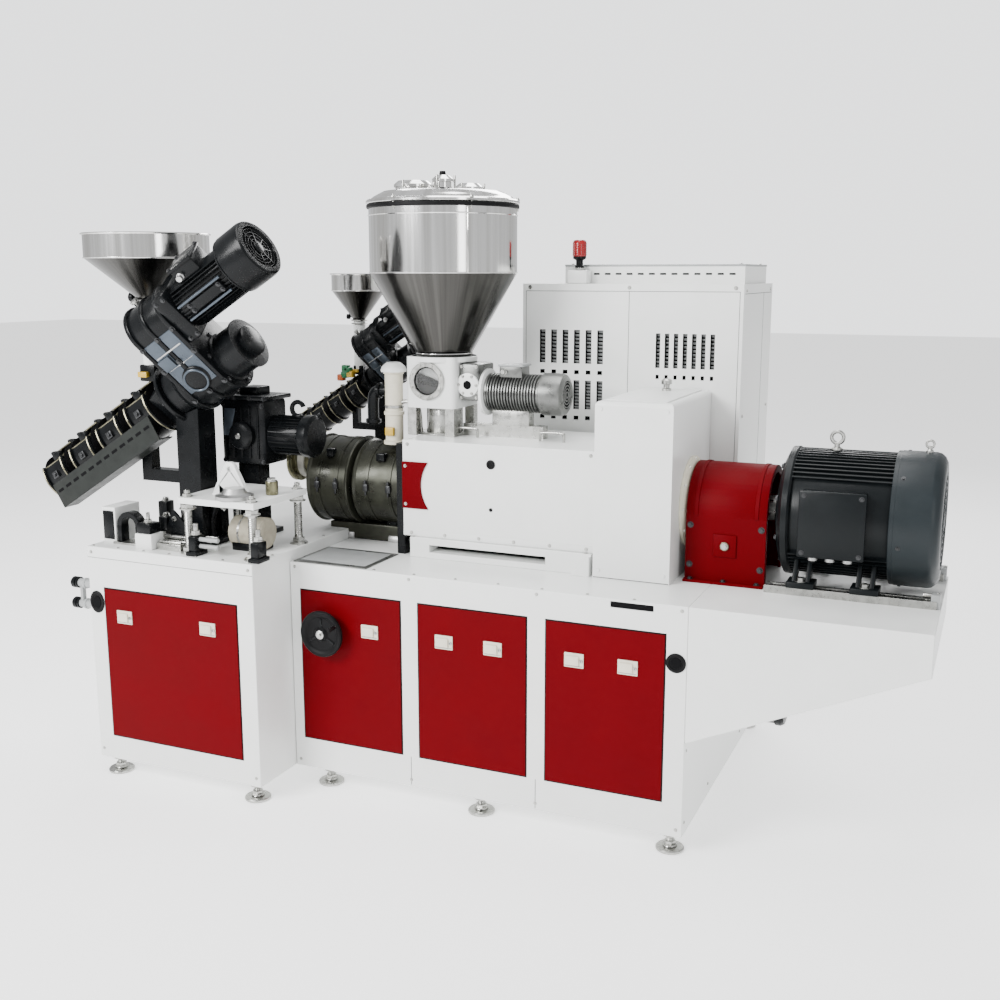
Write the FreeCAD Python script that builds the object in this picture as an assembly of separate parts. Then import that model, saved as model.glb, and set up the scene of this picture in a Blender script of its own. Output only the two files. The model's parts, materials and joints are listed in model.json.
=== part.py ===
"""Conical twin-screw plastic extruder with two inclined co-extruders.

Millimetres, +Z up. X runs along the barrel, with the drive motor towards +X. The operator's side is -Y.
While it is drawn, X is 0 at the drive end of the base box and Y is 0 on the barrel's centre line.
The finished parts are moved together so that the origin is the centre of the footprint, on the floor.
"""
import FreeCAD, Part
import math
import os

V = FreeCAD.Vector

# ---------------------------------------------------------------- driving dimensions
DECK = 750.0              # top of the main base
FRAME_BOTTOM = 60.0       # underside of both steel frames, above the levelling feet
BASE_LENGTH = 1300.0
BASE_FRONT = -430.0
BASE_BACK = 700.0
PANEL = 12.0              # thickness of the lift-off panels
PANEL_PROUD = 3.0         # how far a panel stands out of its frame
PANEL_FIT = 2.0           # gap round a panel in its pocket

DOOR_WIDTH = 360.0
DOOR_GAP = 60.0
RIGHT_POST = 62.0
DOOR_LOW, DOOR_HIGH = 164.0, 664.0
LATCH = (58.0, 42.0, 10.0)        # width, height, thickness of a panel latch
LATCH_Z = 553.0

PLATFORM_REACH = 640.0    # length of the motor platform beyond the base
PLATFORM_BACK = 215.0
PLATFORM_TIP = 118.0      # thickness at the tip
PLATFORM_ROOT = 400.0     # thickness where it meets the base

BARREL_Z = 950.0          # height of the barrel's centre line
SHAFT_Z = 962.0           # height of the motor's shaft
BARREL_R = 92.0
SHROUD_R = 154.0

COVER_LEFT, COVER_RIGHT = -1010.0, -352.0
COVER_LOW, COVER_HIGH = 816.0, 1130.0
COVER_HALF = 200.0
SHEET = 4.0

BARREL_TIP = COVER_LEFT - 404.0
MELT_Y, MELT_Z = -20.0, BARREL_Z + 58    # outlet of the melt adapter
MELT_NECK, MELT_FLANGE = 92.0, 20.0      # lengths of its neck and flange
MELT_BORE_R = 22.0
MELT_PCD, MELT_BOLTS, MELT_BOLT_R = 120.0, 6, 6.5

TOWER_LEFT, TOWER_RIGHT = -350.0, -112.0
TOWER_HALF = 228.0
TOWER_TOP = 1285.0

MOTOR_LEFT, MOTOR_RIGHT = 165.0, 625.0
MOTOR_R = 188.0

HOPPER_X = -955.0
HOPPER_R = 240.0
HOPPER_OUTLET_R = 88.0
HOPPER_OUTLET_Z, HOPPER_SHOULDER_Z, HOPPER_RIM_Z = 1388.0, 1655.0, 1870.0
HOPPER_WALL = 3.0

CABINET_LEFT, CABINET_RIGHT = -770.0, -20.0
CABINET_FRONT, CABINET_BACK = 232.0, 700.0
CABINET_TOP = 1620.0

DIE_LEFT, DIE_RIGHT = -1945.0, -1302.0      # cabinet that carries the die platform
DIE_FRONT, DIE_BACK = -630.0, 430.0
DIE_TOP = 785.0
DIE_DOOR_LOW, DIE_DOOR_HIGH = 144.0, 650.0
DIE_POST = 62.0

PLATE_X, PLATE_Y, PLATE_Z = (-1598.0, -1312.0), (-596.0, -300.0), 946.0     # raised plate on its posts
ARCH_X, ARCH_RISE, ARCH_R = -1828.0, 62.0, 46.0                              # small arched bracket
LUG_X, LUG_Y = PLATE_X[0] + 140, PLATE_Y[0] + 84
LUG_THICK, LUG_EYE_RISE, LUG_HOLE_R = 16.0, 84.0, 9.0

INCLINE = 31.5            # slope of the co-extruders, in degrees
GEAR_CENTRES = 212.0      # distance between the two shafts of a co-extruder's gear case
GEAR_CASE_R = (104.0, 92.0)
SHROUD_RADII = (88.0, 98.0)   # of a co-extruder's cooling shrouds, and of their lips
GEAR_TURN = 34.0          # lean of its offset shaft towards the operator, in degrees

WHEEL_R = 75.0
WHEEL_RIM = 9.0
WHEEL_HUB_R = 17.0
WHEEL_CLEARANCE = 5.0     # between its boss and its hub

PARTS = {}


# ---------------------------------------------------------------- small helpers
def box(x, y, z):
    """A block between the low and high values given for each axis."""
    return Part.makeBox(x[1] - x[0], y[1] - y[0], z[1] - z[0], V(x[0], y[0], z[0]))


def rod(start, along, radius, length):
    """A round bar from a start point, along a direction."""
    return Part.makeCylinder(radius, length, V(*start), V(*along))


def ring(start, along, outer, inner, length):
    """A round bar with a round hole through it."""
    return rod(start, along, outer, length).cut(rod(start, along, inner, length))


def cone(start, along, first, last, length):
    """A cone frustum from a start point, along a direction."""
    return Part.makeCone(first, last, length, V(*start), V(*along))


def prism(points, plane, low, high):
    """A polygon of (a, b) points in plane "xz", "yz" or "xy", drawn out from low to high on the third axis."""
    place = {
        "xz": lambda a, b: V(a, low, b),
        "yz": lambda a, b: V(low, a, b),
        "xy": lambda a, b: V(a, b, low),
    }[plane]
    out = {"xz": V(0, high - low, 0), "yz": V(high - low, 0, 0), "xy": V(0, 0, high - low)}[plane]
    corners = [place(a, b) for a, b in points]
    return Part.Face(Part.makePolygon(corners + corners[:1])).extrude(out)


def fuse(shapes):
    """One solid from pieces that touch."""
    whole = shapes[0]
    for shape in shapes[1:]:
        whole = whole.fuse(shape)
    return whole.removeSplitter()


def cut(shape, tools):
    """The shape with each tool taken out of it."""
    for tool in tools:
        shape = shape.cut(tool)
    return shape


def group(shapes):
    """Like pieces that don't touch, kept in one node."""
    return Part.makeCompound(shapes)


# ---------------------------------------------------------------- main base
def door_spans():
    """Low and high X of the three front panels of the base, from the die end to the drive end."""
    spans = []
    for index in range(3):
        right = -RIGHT_POST - index * (DOOR_WIDTH + DOOR_GAP)
        spans.append((right - DOOR_WIDTH, right))
    return spans[::-1]


def panel(span, front, z, side=-1):
    """A lift-off panel in its pocket: side -1 faces the operator, +1 faces the back."""
    inner = front - side * (PANEL - PANEL_PROUD)
    outer = front + side * PANEL_PROUD
    return box((span[0] + PANEL_FIT, span[1] - PANEL_FIT), sorted((inner, outer)),
               (z[0] + PANEL_FIT, z[1] - PANEL_FIT))


def pocket(span, front, z, side=-1):
    """The recess that a panel sits in."""
    inner = front - side * (PANEL - PANEL_PROUD)
    return box(span, sorted((inner, front + side)), z)


def latch(x, z, face, side=-1):
    """A flush latch with a raised paddle, on a panel's outer face."""
    width, height, thick = LATCH
    plate = box((x - width / 2, x + width / 2), sorted((face, face + side * thick * 0.5)),
                (z - height / 2, z + height / 2))
    paddle = box((x - width * 0.36, x + width * 0.36), sorted((face + side * thick * 0.5, face + side * thick)),
                 (z - height * 0.3, z + height * 0.3))
    return fuse([plate, paddle])


def make_base():
    """Frame, panels, latches and feet of the main base."""
    door_z = (DOOR_LOW, DOOR_HIGH)
    frame = box((-BASE_LENGTH, 0), (BASE_FRONT, BASE_BACK), (FRAME_BOTTOM, DECK))
    pockets = [pocket(span, BASE_FRONT, door_z) for span in door_spans()]
    pockets += [pocket(span, BASE_BACK, door_z, 1) for span in door_spans()]
    deck_slot = box((-226, -100), (BASE_FRONT - 1, BASE_FRONT + 16), (724, 742))
    PARTS["base_frame"] = cut(frame, pockets + [deck_slot])
    for index, span in enumerate(door_spans(), 1):
        PARTS["base_door_%d" % index] = panel(span, BASE_FRONT, door_z)
    PARTS["base_rear_doors"] = group([panel(span, BASE_BACK, door_z, 1) for span in door_spans()])


def make_latches():
    """Paired latches of every panel; panel 1 of the base has one, beside its handwheel."""
    front = BASE_FRONT - PANEL_PROUD
    back = BASE_BACK + PANEL_PROUD
    latches = []
    for index, (left, right) in enumerate(door_spans()):
        for share in (0.25, 0.70):
            x = left + share * (right - left)
            if not (index == 0 and share == 0.25):
                latches.append(latch(x, LATCH_Z, front))
            latches.append(latch(x, LATCH_Z, back, 1))
    for x in (DIE_LEFT + 0.222 * (DIE_RIGHT - DIE_LEFT), DIE_LEFT + 0.73 * (DIE_RIGHT - DIE_LEFT)):
        latches.append(latch(x, LATCH_Z + 8, DIE_FRONT - PANEL_PROUD))
        latches.append(latch(x, LATCH_Z + 8, DIE_BACK + PANEL_PROUD, 1))
    PARTS["door_latches"] = group(latches)


def levelling_foot(x, y):
    """Pad, stud and lock nut of one foot, under a frame."""
    pad = cone((x, y, 0), (0, 0, 1), 42, 36, 14)
    stud = rod((x, y, 14), (0, 0, 1), 11, FRAME_BOTTOM - 14)
    nut = rod((x, y, FRAME_BOTTOM - 14), (0, 0, 1), 19, 14)
    return fuse([pad, stud, nut])


def make_feet():
    """Feet near the corners of both frames, and two under the middle of the base."""
    inset = 45.0
    base_x = (-BASE_LENGTH + inset + 60, -BASE_LENGTH / 2, -inset)
    places = [(x, y) for x in base_x for y in (BASE_FRONT + inset, BASE_BACK - inset)]
    places += [(x, y) for x in (DIE_LEFT + inset, DIE_RIGHT - inset)
               for y in (DIE_FRONT + inset, DIE_BACK - inset)]
    PARTS["levelling_feet"] = group([levelling_foot(x, y) for x, y in places])


def make_motor_platform():
    """Cantilever that carries the motor, its slide rails and the small pump motor under it."""
    side = [(0, DECK), (PLATFORM_REACH, DECK), (PLATFORM_REACH, DECK - PLATFORM_TIP), (0, DECK - PLATFORM_ROOT)]
    PARTS["motor_platform"] = prism(side, "xz", BASE_FRONT, PLATFORM_BACK)
    rail_x = (158, PLATFORM_REACH - 12)
    rails = []
    for y in (-165.0, 165.0):
        rail = box(rail_x, (y - 26, y + 26), (DECK, DECK + 22))
        groove = box((rail_x[0] + 20, rail_x[1] - 20), (y - 6, y + 6), (DECK + 10, DECK + 23))
        rails.append(rail.cut(groove))
    PARTS["motor_rails"] = group(rails)


def make_pump_motor():
    """Small oil-pump motor hung by two pipes from the platform's sloping underside."""
    x0, x1, y, z, radius = 52.0, 236.0, -150.0, 392.0, 48.0
    body = rod((x0 + 30, y, z), (1, 0, 0), radius, x1 - x0 - 60)
    ends = [rod((x0, y, z), (1, 0, 0), radius + 5, 30), rod((x1 - 30, y, z), (1, 0, 0), radius + 5, 30)]
    pump = rod((x0 - 30, y, z), (1, 0, 0), 26, 30)
    slope = (PLATFORM_ROOT - PLATFORM_TIP) / PLATFORM_REACH
    pipes = []
    for x in (x0 + 12, x1 - 14):
        underside = DECK - PLATFORM_ROOT + slope * x
        top = max(underside, z + radius)
        pipes.append(rod((x, y, z), (0, 0, 1), 9, top - z + 12))
    hanger = fuse([body] + ends + [pump] + pipes)
    PARTS["pump_motor"] = hanger.cut(PARTS["motor_platform"])


# ---------------------------------------------------------------- drive
def make_main_motor():
    """Motor frame with feet and lifting eyes, fan cowl, and terminal box on the operator's side."""
    axis = (1, 0, 0)
    frame_left = MOTOR_LEFT + 34
    cowl_left = MOTOR_RIGHT - 128
    body = rod((frame_left, 0, SHAFT_Z), axis, MOTOR_R, cowl_left - frame_left)
    bell = cone((MOTOR_LEFT, 0, SHAFT_Z), axis, MOTOR_R * 0.82, MOTOR_R * 1.02, 34)
    rail_top = DECK + 22
    feet = []
    for x in (frame_left + 26, cowl_left - 96):
        for y in (-165.0, 165.0):
            feet.append(box((x, x + 70), (y - 34, y + 34), (rail_top, rail_top + 20)))
            inner = y * 0.44
            web = [(y - 22, rail_top + 20), (y + 22, rail_top + 20), (inner + 30, SHAFT_Z - 60),
                   (inner - 30, SHAFT_Z - 60)]
            feet.append(prism(web, "yz", x + 8, x + 62))
    eye_x = (frame_left + cowl_left) / 2 - 30
    eye_stem = rod((eye_x, 0, SHAFT_Z + MOTOR_R - 6), (0, 0, 1), 9, 26)
    eye_ring = Part.makeTorus(17, 5.5, V(eye_x, 0, SHAFT_Z + MOTOR_R + 35), V(0, 1, 0))
    terminal = (-MOTOR_R * 0.97 - 22, -MOTOR_R * 0.55)
    box_x = (frame_left + 52, cowl_left - 70)
    cavity = box(box_x, terminal, (SHAFT_Z - 92, SHAFT_Z + 92))
    frame = fuse([body, bell] + feet + [eye_stem, eye_ring])
    PARTS["main_motor"] = frame.cut(cavity)
    PARTS["motor_terminal_box"] = cavity
    cowl = rod((cowl_left, 0, SHAFT_Z), axis, MOTOR_R + 7, MOTOR_RIGHT - cowl_left)
    rounded = cowl.makeFillet(26, [edge for edge in cowl.Edges
                                   if abs(edge.CenterOfMass.x - MOTOR_RIGHT) < 1 and len(edge.Vertexes) == 1])
    PARTS["motor_fan_cowl"] = rounded


def make_coupling_guard():
    """Arched sheet guard over the coupling, standing on the platform, with end flanges."""
    x0, x1, half, thick = -88.0, 150.0, 142.0, 5.0
    crown = SHAFT_Z - 12

    def arch(reach, low, left, right):
        return fuse([rod((left, 0, crown), (1, 0, 0), reach, right - left),
                     box((left, right), (-reach, reach), (low, crown))])

    shell = arch(half, DECK, x0, x1).cut(arch(half - thick, DECK - 1, x0 - 1, x1 + 1))
    lips = []
    for left in (x0, x1 - 8):
        lips.append(arch(half, DECK, left, left + 8).cut(arch(half - 22, DECK - 1, left - 1, left + 9)))
    skirt = [box((x0, x1), sorted((side * half, side * (half + 26))), (DECK, DECK + 8)) for side in (-1, 1)]
    PARTS["coupling_guard"] = fuse([shell] + lips + skirt)


def make_gear_housing():
    """Tall gear housing on the deck, with its input bearing ring and the shaft through the guard."""
    tower = box((TOWER_LEFT, TOWER_RIGHT), (-TOWER_HALF, TOWER_HALF), (DECK, TOWER_TOP))
    edges = [edge for edge in tower.Edges if abs(edge.CenterOfMass.z - TOWER_TOP) < 1]
    tower = tower.makeFillet(14, edges)
    bearing = rod((TOWER_RIGHT, 0, SHAFT_Z), (1, 0, 0), 118, 20)
    PARTS["gear_housing"] = fuse([tower, bearing])
    shaft = rod((TOWER_RIGHT + 20, 0, SHAFT_Z), (1, 0, 0), 38, MOTOR_LEFT - TOWER_RIGHT - 20)
    hubs = [rod((x, 0, SHAFT_Z), (1, 0, 0), 92, 46) for x in (-10, 44)]
    PARTS["shaft_coupling"] = fuse([shaft] + hubs)


# ---------------------------------------------------------------- barrel
def make_barrel():
    """Barrel, the heater shrouds of its open stretch, the dark end plate and the melt adapter."""
    tip = BARREL_TIP
    axis = (1, 0, 0)
    PARTS["barrel"] = rod((tip, 0, BARREL_Z), axis, BARREL_R, TOWER_LEFT - tip)
    shrouds = [ring((tip + 2, 0, BARREL_Z), axis, SHROUD_R, BARREL_R, 162),
               ring((tip + 176, 0, BARREL_Z), axis, SHROUD_R - 8, BARREL_R, 196)]
    PARTS["barrel_shrouds"] = group(shrouds)
    plate = box((COVER_LEFT - 28, COVER_LEFT), (-COVER_HALF + 8, COVER_HALF - 8), (DECK, COVER_HIGH - 14))
    PARTS["barrel_end_plate"] = plate.cut(rod((COVER_LEFT - 30, 0, BARREL_Z), axis, BARREL_R, 32))
    PARTS["melt_adapter"] = melt_adapter(tip)


def melt_adapter(tip):
    """Neck and bolting flange where the die is fastened, with the melt bore through both."""
    out = (-1, 0, 0)
    neck = rod((tip, MELT_Y, MELT_Z), out, 52, MELT_NECK)
    flange = rod((tip - MELT_NECK, MELT_Y, MELT_Z), out, 74, MELT_FLANGE)
    holes = [rod((tip, MELT_Y, MELT_Z), out, MELT_BORE_R, MELT_NECK + MELT_FLANGE)]
    for index in range(MELT_BOLTS):
        angle = math.radians(30 + 360 * index / MELT_BOLTS)
        place = (tip - MELT_NECK, MELT_Y + MELT_PCD / 2 * math.cos(angle), MELT_Z + MELT_PCD / 2 * math.sin(angle))
        holes.append(rod(place, out, MELT_BOLT_R, MELT_FLANGE))
    return cut(fuse([neck, flange]), holes)


def make_barrel_cover():
    """Sheet cover over the barrel, its two feet, and the curved red plate at its die end."""
    outer = box((COVER_LEFT, COVER_RIGHT), (-COVER_HALF, COVER_HALF), (COVER_LOW, COVER_HIGH))
    inner = box((COVER_LEFT - 1, COVER_RIGHT + 1), (-COVER_HALF + SHEET, COVER_HALF - SHEET),
                (COVER_LOW - 1, COVER_HIGH - SHEET))
    PARTS["barrel_cover"] = outer.cut(inner)
    feet = []
    span = (COVER_LEFT + 30, COVER_RIGHT - 8)
    for side in (-1, 1):
        y = sorted((side * (COVER_HALF - 46), side * (COVER_HALF + 14)))
        beam = box(span, y, (DECK, COVER_LOW))
        gap = box((span[0] + 70, span[1] - 150), (y[0] - 1, y[1] + 1), (DECK + 20, COVER_LOW - 22))
        feet.append(beam.cut(gap))
    gusset = [(COVER_RIGHT - 70, DECK), (COVER_RIGHT - 8, DECK), (COVER_RIGHT - 8, DECK + 62)]
    feet[0] = fuse([feet[0], prism(gusset, "xz", -COVER_HALF - 34, -COVER_HALF - 14)])
    PARTS["barrel_cover_feet"] = group(feet)
    z_mid, half, bulge = 984.0, 76.0, 26.0
    y = -COVER_HALF
    outline = Part.Wire([
        Part.makeLine(V(COVER_LEFT, y, z_mid - half), V(COVER_LEFT, y, z_mid + half)),
        Part.makeLine(V(COVER_LEFT, y, z_mid + half), V(COVER_LEFT + 92, y, z_mid + half)),
        Part.Arc(V(COVER_LEFT + 92, y, z_mid + half), V(COVER_LEFT + 92 - bulge, y, z_mid),
                 V(COVER_LEFT + 92, y, z_mid - half)).toShape(),
        Part.makeLine(V(COVER_LEFT + 92, y, z_mid - half), V(COVER_LEFT, y, z_mid - half)),
    ])
    PARTS["side_plate"] = Part.Face(outline).extrude(V(0, -6, 0))


# ---------------------------------------------------------------- main hopper and feeder
def hopper_shell(x, y, outlet_z, shoulder_z, rim_z, outlet_r, radius, wall):
    """Thin shell of a conical hopper: open at the rim and at the outlet."""
    outer = fuse([cone((x, y, outlet_z), (0, 0, 1), outlet_r, radius, shoulder_z - outlet_z),
                  rod((x, y, shoulder_z), (0, 0, 1), radius, rim_z - shoulder_z)])
    inner = fuse([cone((x, y, outlet_z), (0, 0, 1), outlet_r - wall, radius - wall, shoulder_z - outlet_z),
                  rod((x, y, shoulder_z), (0, 0, 1), radius - wall, rim_z - shoulder_z)])
    return outer.cut(inner)


def make_main_hopper():
    """Stainless hopper, and its lid with a rolled edge and three capped ports."""
    PARTS["main_hopper"] = hopper_shell(HOPPER_X, 0, HOPPER_OUTLET_Z, HOPPER_SHOULDER_Z, HOPPER_RIM_Z,
                                        HOPPER_OUTLET_R, HOPPER_R, HOPPER_WALL)
    lid = rod((HOPPER_X, 0, HOPPER_RIM_Z), (0, 0, 1), HOPPER_R + 8, 22)
    crown = cone((HOPPER_X, 0, HOPPER_RIM_Z + 22), (0, 0, 1), HOPPER_R - 10, HOPPER_R - 50, 26)
    ports = [rod((HOPPER_X - 92, -30, HOPPER_RIM_Z + 48), (0, 0, 1), 62, 34),
             rod((HOPPER_X + 60, 70, HOPPER_RIM_Z + 48), (0, 0, 1), 46, 28),
             rod((HOPPER_X + 38, -78, HOPPER_RIM_Z + 48), (0, 0, 1), 34, 52)]
    PARTS["hopper_lid"] = fuse([lid, crown] + ports)


def make_feeder():
    """Metering feeder under the hopper: housing, gear case, finned motor and the stand it is on."""
    low, high = COVER_HIGH + 92, HOPPER_OUTLET_Z
    half = 96.0
    housing = box((HOPPER_X - half, HOPPER_X + half - 14), (-half, half), (low, high))
    housing = housing.makeFillet(18, [edge for edge in housing.Edges
                                      if abs(edge.Vertexes[0].X - edge.Vertexes[-1].X) < 0.1
                                      and abs(edge.Vertexes[0].Y - edge.Vertexes[-1].Y) < 0.1])
    collar = rod((HOPPER_X, 0, high - 16), (0, 0, 1), HOPPER_OUTLET_R + 18, 16)
    bore = rod((HOPPER_X, 0, low - 1), (0, 0, 1), HOPPER_OUTLET_R - 22, high - low + 2)
    window_bore = rod((HOPPER_X - 16, -half - 1, low + 88), (0, 1, 0), 46, half)
    PARTS["feeder_housing"] = cut(fuse([housing, collar]), [bore, window_bore])
    PARTS["feeder_window"] = rod((HOPPER_X - 16, -half + 6, low + 88), (0, 1, 0), 46, 8)
    case_x = (HOPPER_X + half - 14, HOPPER_X + half + 58)
    gear_case = box(case_x, (-62, 62), (low + 26, high - 20))
    flange = rod((case_x[1], 0, low + 52), (1, 0, 0), 74, 14)
    PARTS["feeder_gear_case"] = fuse([gear_case, flange])
    motor_x = case_x[1] + 14
    body = rod((motor_x, 0, low + 52), (1, 0, 0), 62, 190)
    cowl = rod((motor_x + 190, 0, low + 52), (1, 0, 0), 68, 78)
    PARTS["feeder_motor"] = fuse([body, cowl])
    legs = [box((x - 16, x + 16), (y - 16, y + 16), (COVER_HIGH, low))
            for x in (HOPPER_X - half + 20, HOPPER_X + half - 34) for y in (-half + 20, half - 20)]
    throat = rod((HOPPER_X, 0, COVER_HIGH), (0, 0, 1), 60, low - COVER_HIGH)
    bar = box((HOPPER_X + half - 18, HOPPER_X + 360), (-22, 22), (COVER_HIGH, COVER_HIGH + 40))
    PARTS["feeder_stand"] = group(legs + [throat, bar])


def make_vent_stack():
    """Pale vent pipe with a cap beside the feeder, and its elbow down to the barrel."""
    x, y = COVER_LEFT - 98.0, -70.0
    low = BARREL_Z + SHROUD_R * 0.9 + 6
    pipe = rod((x, y, low), (0, 0, 1), 30, 246)
    cap = cone((x, y, low + 246), (0, 0, 1), 42, 20, 26)
    branch = rod((x, y, low + 176), (-1, 0, 0), 22, 78)
    PARTS["vent_stack"] = fuse([pipe, cap, branch]).cut(
        rod((COVER_LEFT - 300, 0, BARREL_Z), (1, 0, 0), SHROUD_R + 0.5, 292))


# ---------------------------------------------------------------- electrical cabinet
def louvre_group(left, top, columns, pitch, width, height):
    """Vertical slots in a row, with a short slot under each, cut into the cabinet's front."""
    holes = []
    for column in range(columns):
        x = left + column * pitch
        depth = (CABINET_FRONT - 1, CABINET_FRONT + 26)
        holes.append(box((x, x + width), depth, (top - height, top)))
        holes.append(box((x + 2, x + width - 2), depth, (top - height - 36, top - height - 22)))
    return holes


def make_electrical_cabinet():
    """Control cabinet on the back of the deck, with louvres and a low fan box on its roof."""
    body = box((CABINET_LEFT, CABINET_RIGHT), (CABINET_FRONT, CABINET_BACK), (DECK, CABINET_TOP))
    roof = box((CABINET_LEFT + 130, CABINET_RIGHT - 12), (CABINET_FRONT + 60, CABINET_BACK - 60),
               (CABINET_TOP, CABINET_TOP + 62))
    holes = louvre_group(CABINET_LEFT + 62, 1468, 6, 41, 21, 112)
    holes += louvre_group(CABINET_LEFT + 62, 1300, 6, 41, 21, 98)
    holes += louvre_group(CABINET_LEFT + 468, 1462, 7, 30, 15, 112)
    PARTS["electrical_cabinet"] = cut(fuse([body, roof]), holes)
    x, y = CABINET_LEFT + 190, CABINET_FRONT + 32
    stem = fuse([box((x - 34, x + 34), (y - 24, y + 24), (CABINET_TOP, CABINET_TOP + 46)),
                 rod((x, y, CABINET_TOP + 46), (0, 0, 1), 15, 42)])
    lens = rod((x, y, CABINET_TOP + 88), (0, 0, 1), 24, 56)
    lens = lens.makeFillet(12, [edge for edge in lens.Edges
                                if abs(edge.CenterOfMass.z - CABINET_TOP - 144) < 1])
    PARTS["beacon_stem"] = stem
    PARTS["beacon_lens"] = lens


# ---------------------------------------------------------------- die platform
def make_die_cabinet():
    """Cabinet that carries the die platform, its panels and the water connectors at its side."""
    z = (DIE_DOOR_LOW, DIE_DOOR_HIGH)
    span = (DIE_LEFT + DIE_POST, DIE_RIGHT - DIE_POST)
    body = box((DIE_LEFT, DIE_RIGHT), (DIE_FRONT, DIE_BACK), (FRAME_BOTTOM, DIE_TOP))
    PARTS["die_cabinet"] = cut(body, [pocket(span, DIE_FRONT, z), pocket(span, DIE_BACK, z, 1)])
    PARTS["die_cabinet_doors"] = group([panel(span, DIE_FRONT, z), panel(span, DIE_BACK, z, 1)])
    connectors = []
    for height in (572.0, 642.0):
        pipe = rod((DIE_LEFT, DIE_FRONT + 46, height), (-1, 0, 0), 15, 82)
        nozzle = rod((DIE_LEFT - 82, DIE_FRONT + 46, height), (-1, 0, 0), 19, 30)
        connectors.append(fuse([pipe, nozzle]))
    PARTS["water_connectors"] = group(connectors)


def make_die_platform():
    """Plate with its lifting lug on four posts, the pale drum under it, and the loose brackets."""
    left, right, front, back = PLATE_X[0], PLATE_X[1], PLATE_Y[0], PLATE_Y[1]
    plate_z = PLATE_Z
    inset = 22.0
    posts = []
    for x in (left + inset, right - inset):
        for y in (front + inset, back - inset):
            stem = rod((x, y, DIE_TOP), (0, 0, 1), 13, plate_z - DIE_TOP)
            nut = rod((x, y, DIE_TOP), (0, 0, 1), 22, 20)
            collar = rod((x, y, plate_z - 18), (0, 0, 1), 22, 18)
            posts.append(fuse([stem, nut, collar]))
    PARTS["plate_posts"] = group(posts)
    plate = box((left, right), (front, back), (plate_z, plate_z + 20))
    base_z = plate_z + 20
    eye_z = base_z + LUG_EYE_RISE
    lug = prism([(LUG_X - 70, base_z), (LUG_X + 70, base_z), (LUG_X + 22, eye_z + 8), (LUG_X - 22, eye_z + 8)],
                "xz", LUG_Y, LUG_Y + LUG_THICK)
    crown = rod((LUG_X, LUG_Y, eye_z), (0, 1, 0), 23.5, LUG_THICK)
    hole = rod((LUG_X, LUG_Y - 1, eye_z), (0, 1, 0), LUG_HOLE_R, LUG_THICK + 2)
    PARTS["lug_plate"] = fuse([plate, lug, crown]).cut(hole)
    drum_z = DIE_TOP + 56
    PARTS["drum"] = fuse([rod((-1486, -450, drum_z), (1, 0, 0), 50, 124),
                          box((-1476, -1372), (-490, -410), (DIE_TOP, drum_z - 20))])
    PARTS["platform_fittings"] = group(platform_fittings())


def platform_fittings():
    """Loose pieces bolted along the front edge of the die platform, left to right."""
    y = DIE_FRONT
    junction = box((DIE_LEFT + 8, DIE_LEFT + 62), (y + 70, y + 190), (DIE_TOP, DIE_TOP + 118))
    arch_y = (y + 66, y + 102)
    outer = fuse([rod((ARCH_X, arch_y[0], DIE_TOP + ARCH_RISE), (0, 1, 0), ARCH_R, 36),
                  box((ARCH_X - ARCH_R, ARCH_X + ARCH_R), arch_y, (DIE_TOP, DIE_TOP + ARCH_RISE))])
    inner = fuse([rod((ARCH_X, arch_y[0], DIE_TOP + ARCH_RISE), (0, 1, 0), ARCH_R - 18, 36),
                  box((ARCH_X - ARCH_R + 18, ARCH_X + ARCH_R - 18), arch_y, (DIE_TOP, DIE_TOP + ARCH_RISE))])
    block = box((-1772, -1706), (y + 30, y + 90), (DIE_TOP, DIE_TOP + 84))
    bar = box((-1700, -1606), (y + 48, y + 70), (DIE_TOP, DIE_TOP + 22))
    shield = prism([(-1735, DIE_TOP), (-1588, DIE_TOP), (-1628, DIE_TOP + 62), (-1690, DIE_TOP + 118)],
                   "xz", y + 118, y + 130)
    return [junction, outer.cut(inner), block, bar, shield]


def make_side_drive():
    """Compact gear unit with its motor on a pedestal, beside the barrel's tip."""
    x0, y0, y1, z0, z1 = -1636.0, -306.0, -176.0, 1030.0, 1246.0
    body = box((x0, x0 + 176), (y0, y1), (z0, z1))
    body = body.makeFillet(16, [edge for edge in body.Edges if edge.Length > 140 and
                                abs(edge.Vertexes[0].X - edge.Vertexes[-1].X) > 100])
    cap = box((x0 - 8, x0 + 190), (y0 - 8, y1 + 8), (z1, z1 + 14))
    y_mid, z_mid = (y0 + y1) / 2, 1128.0
    motor = rod((x0 + 176, y_mid, z_mid), (1, 0, 0), 66, 128)
    boss = rod((x0 + 88, y0, z_mid), (0, -1, 0), 44, 26)
    hook = ring((x0 + 262, y_mid - 9, z_mid + 90), (0, 1, 0), 30, 15, 18)
    hook = hook.cut(box((x0 + 200, x0 + 262), (y_mid - 10, y_mid + 10), (z_mid + 60, z_mid + 90)))
    PARTS["side_drive"] = fuse([body, cap, motor, boss, hook])
    foot = box((x0 - 6, x0 + 150), (y0 + 6, y1 - 6), (DIE_TOP, DIE_TOP + 16))
    column = box((x0 + 40, x0 + 120), (y0 + 33, y1 - 33), (DIE_TOP + 16, z0))
    PARTS["side_drive_pedestal"] = fuse([foot, column])


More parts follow.
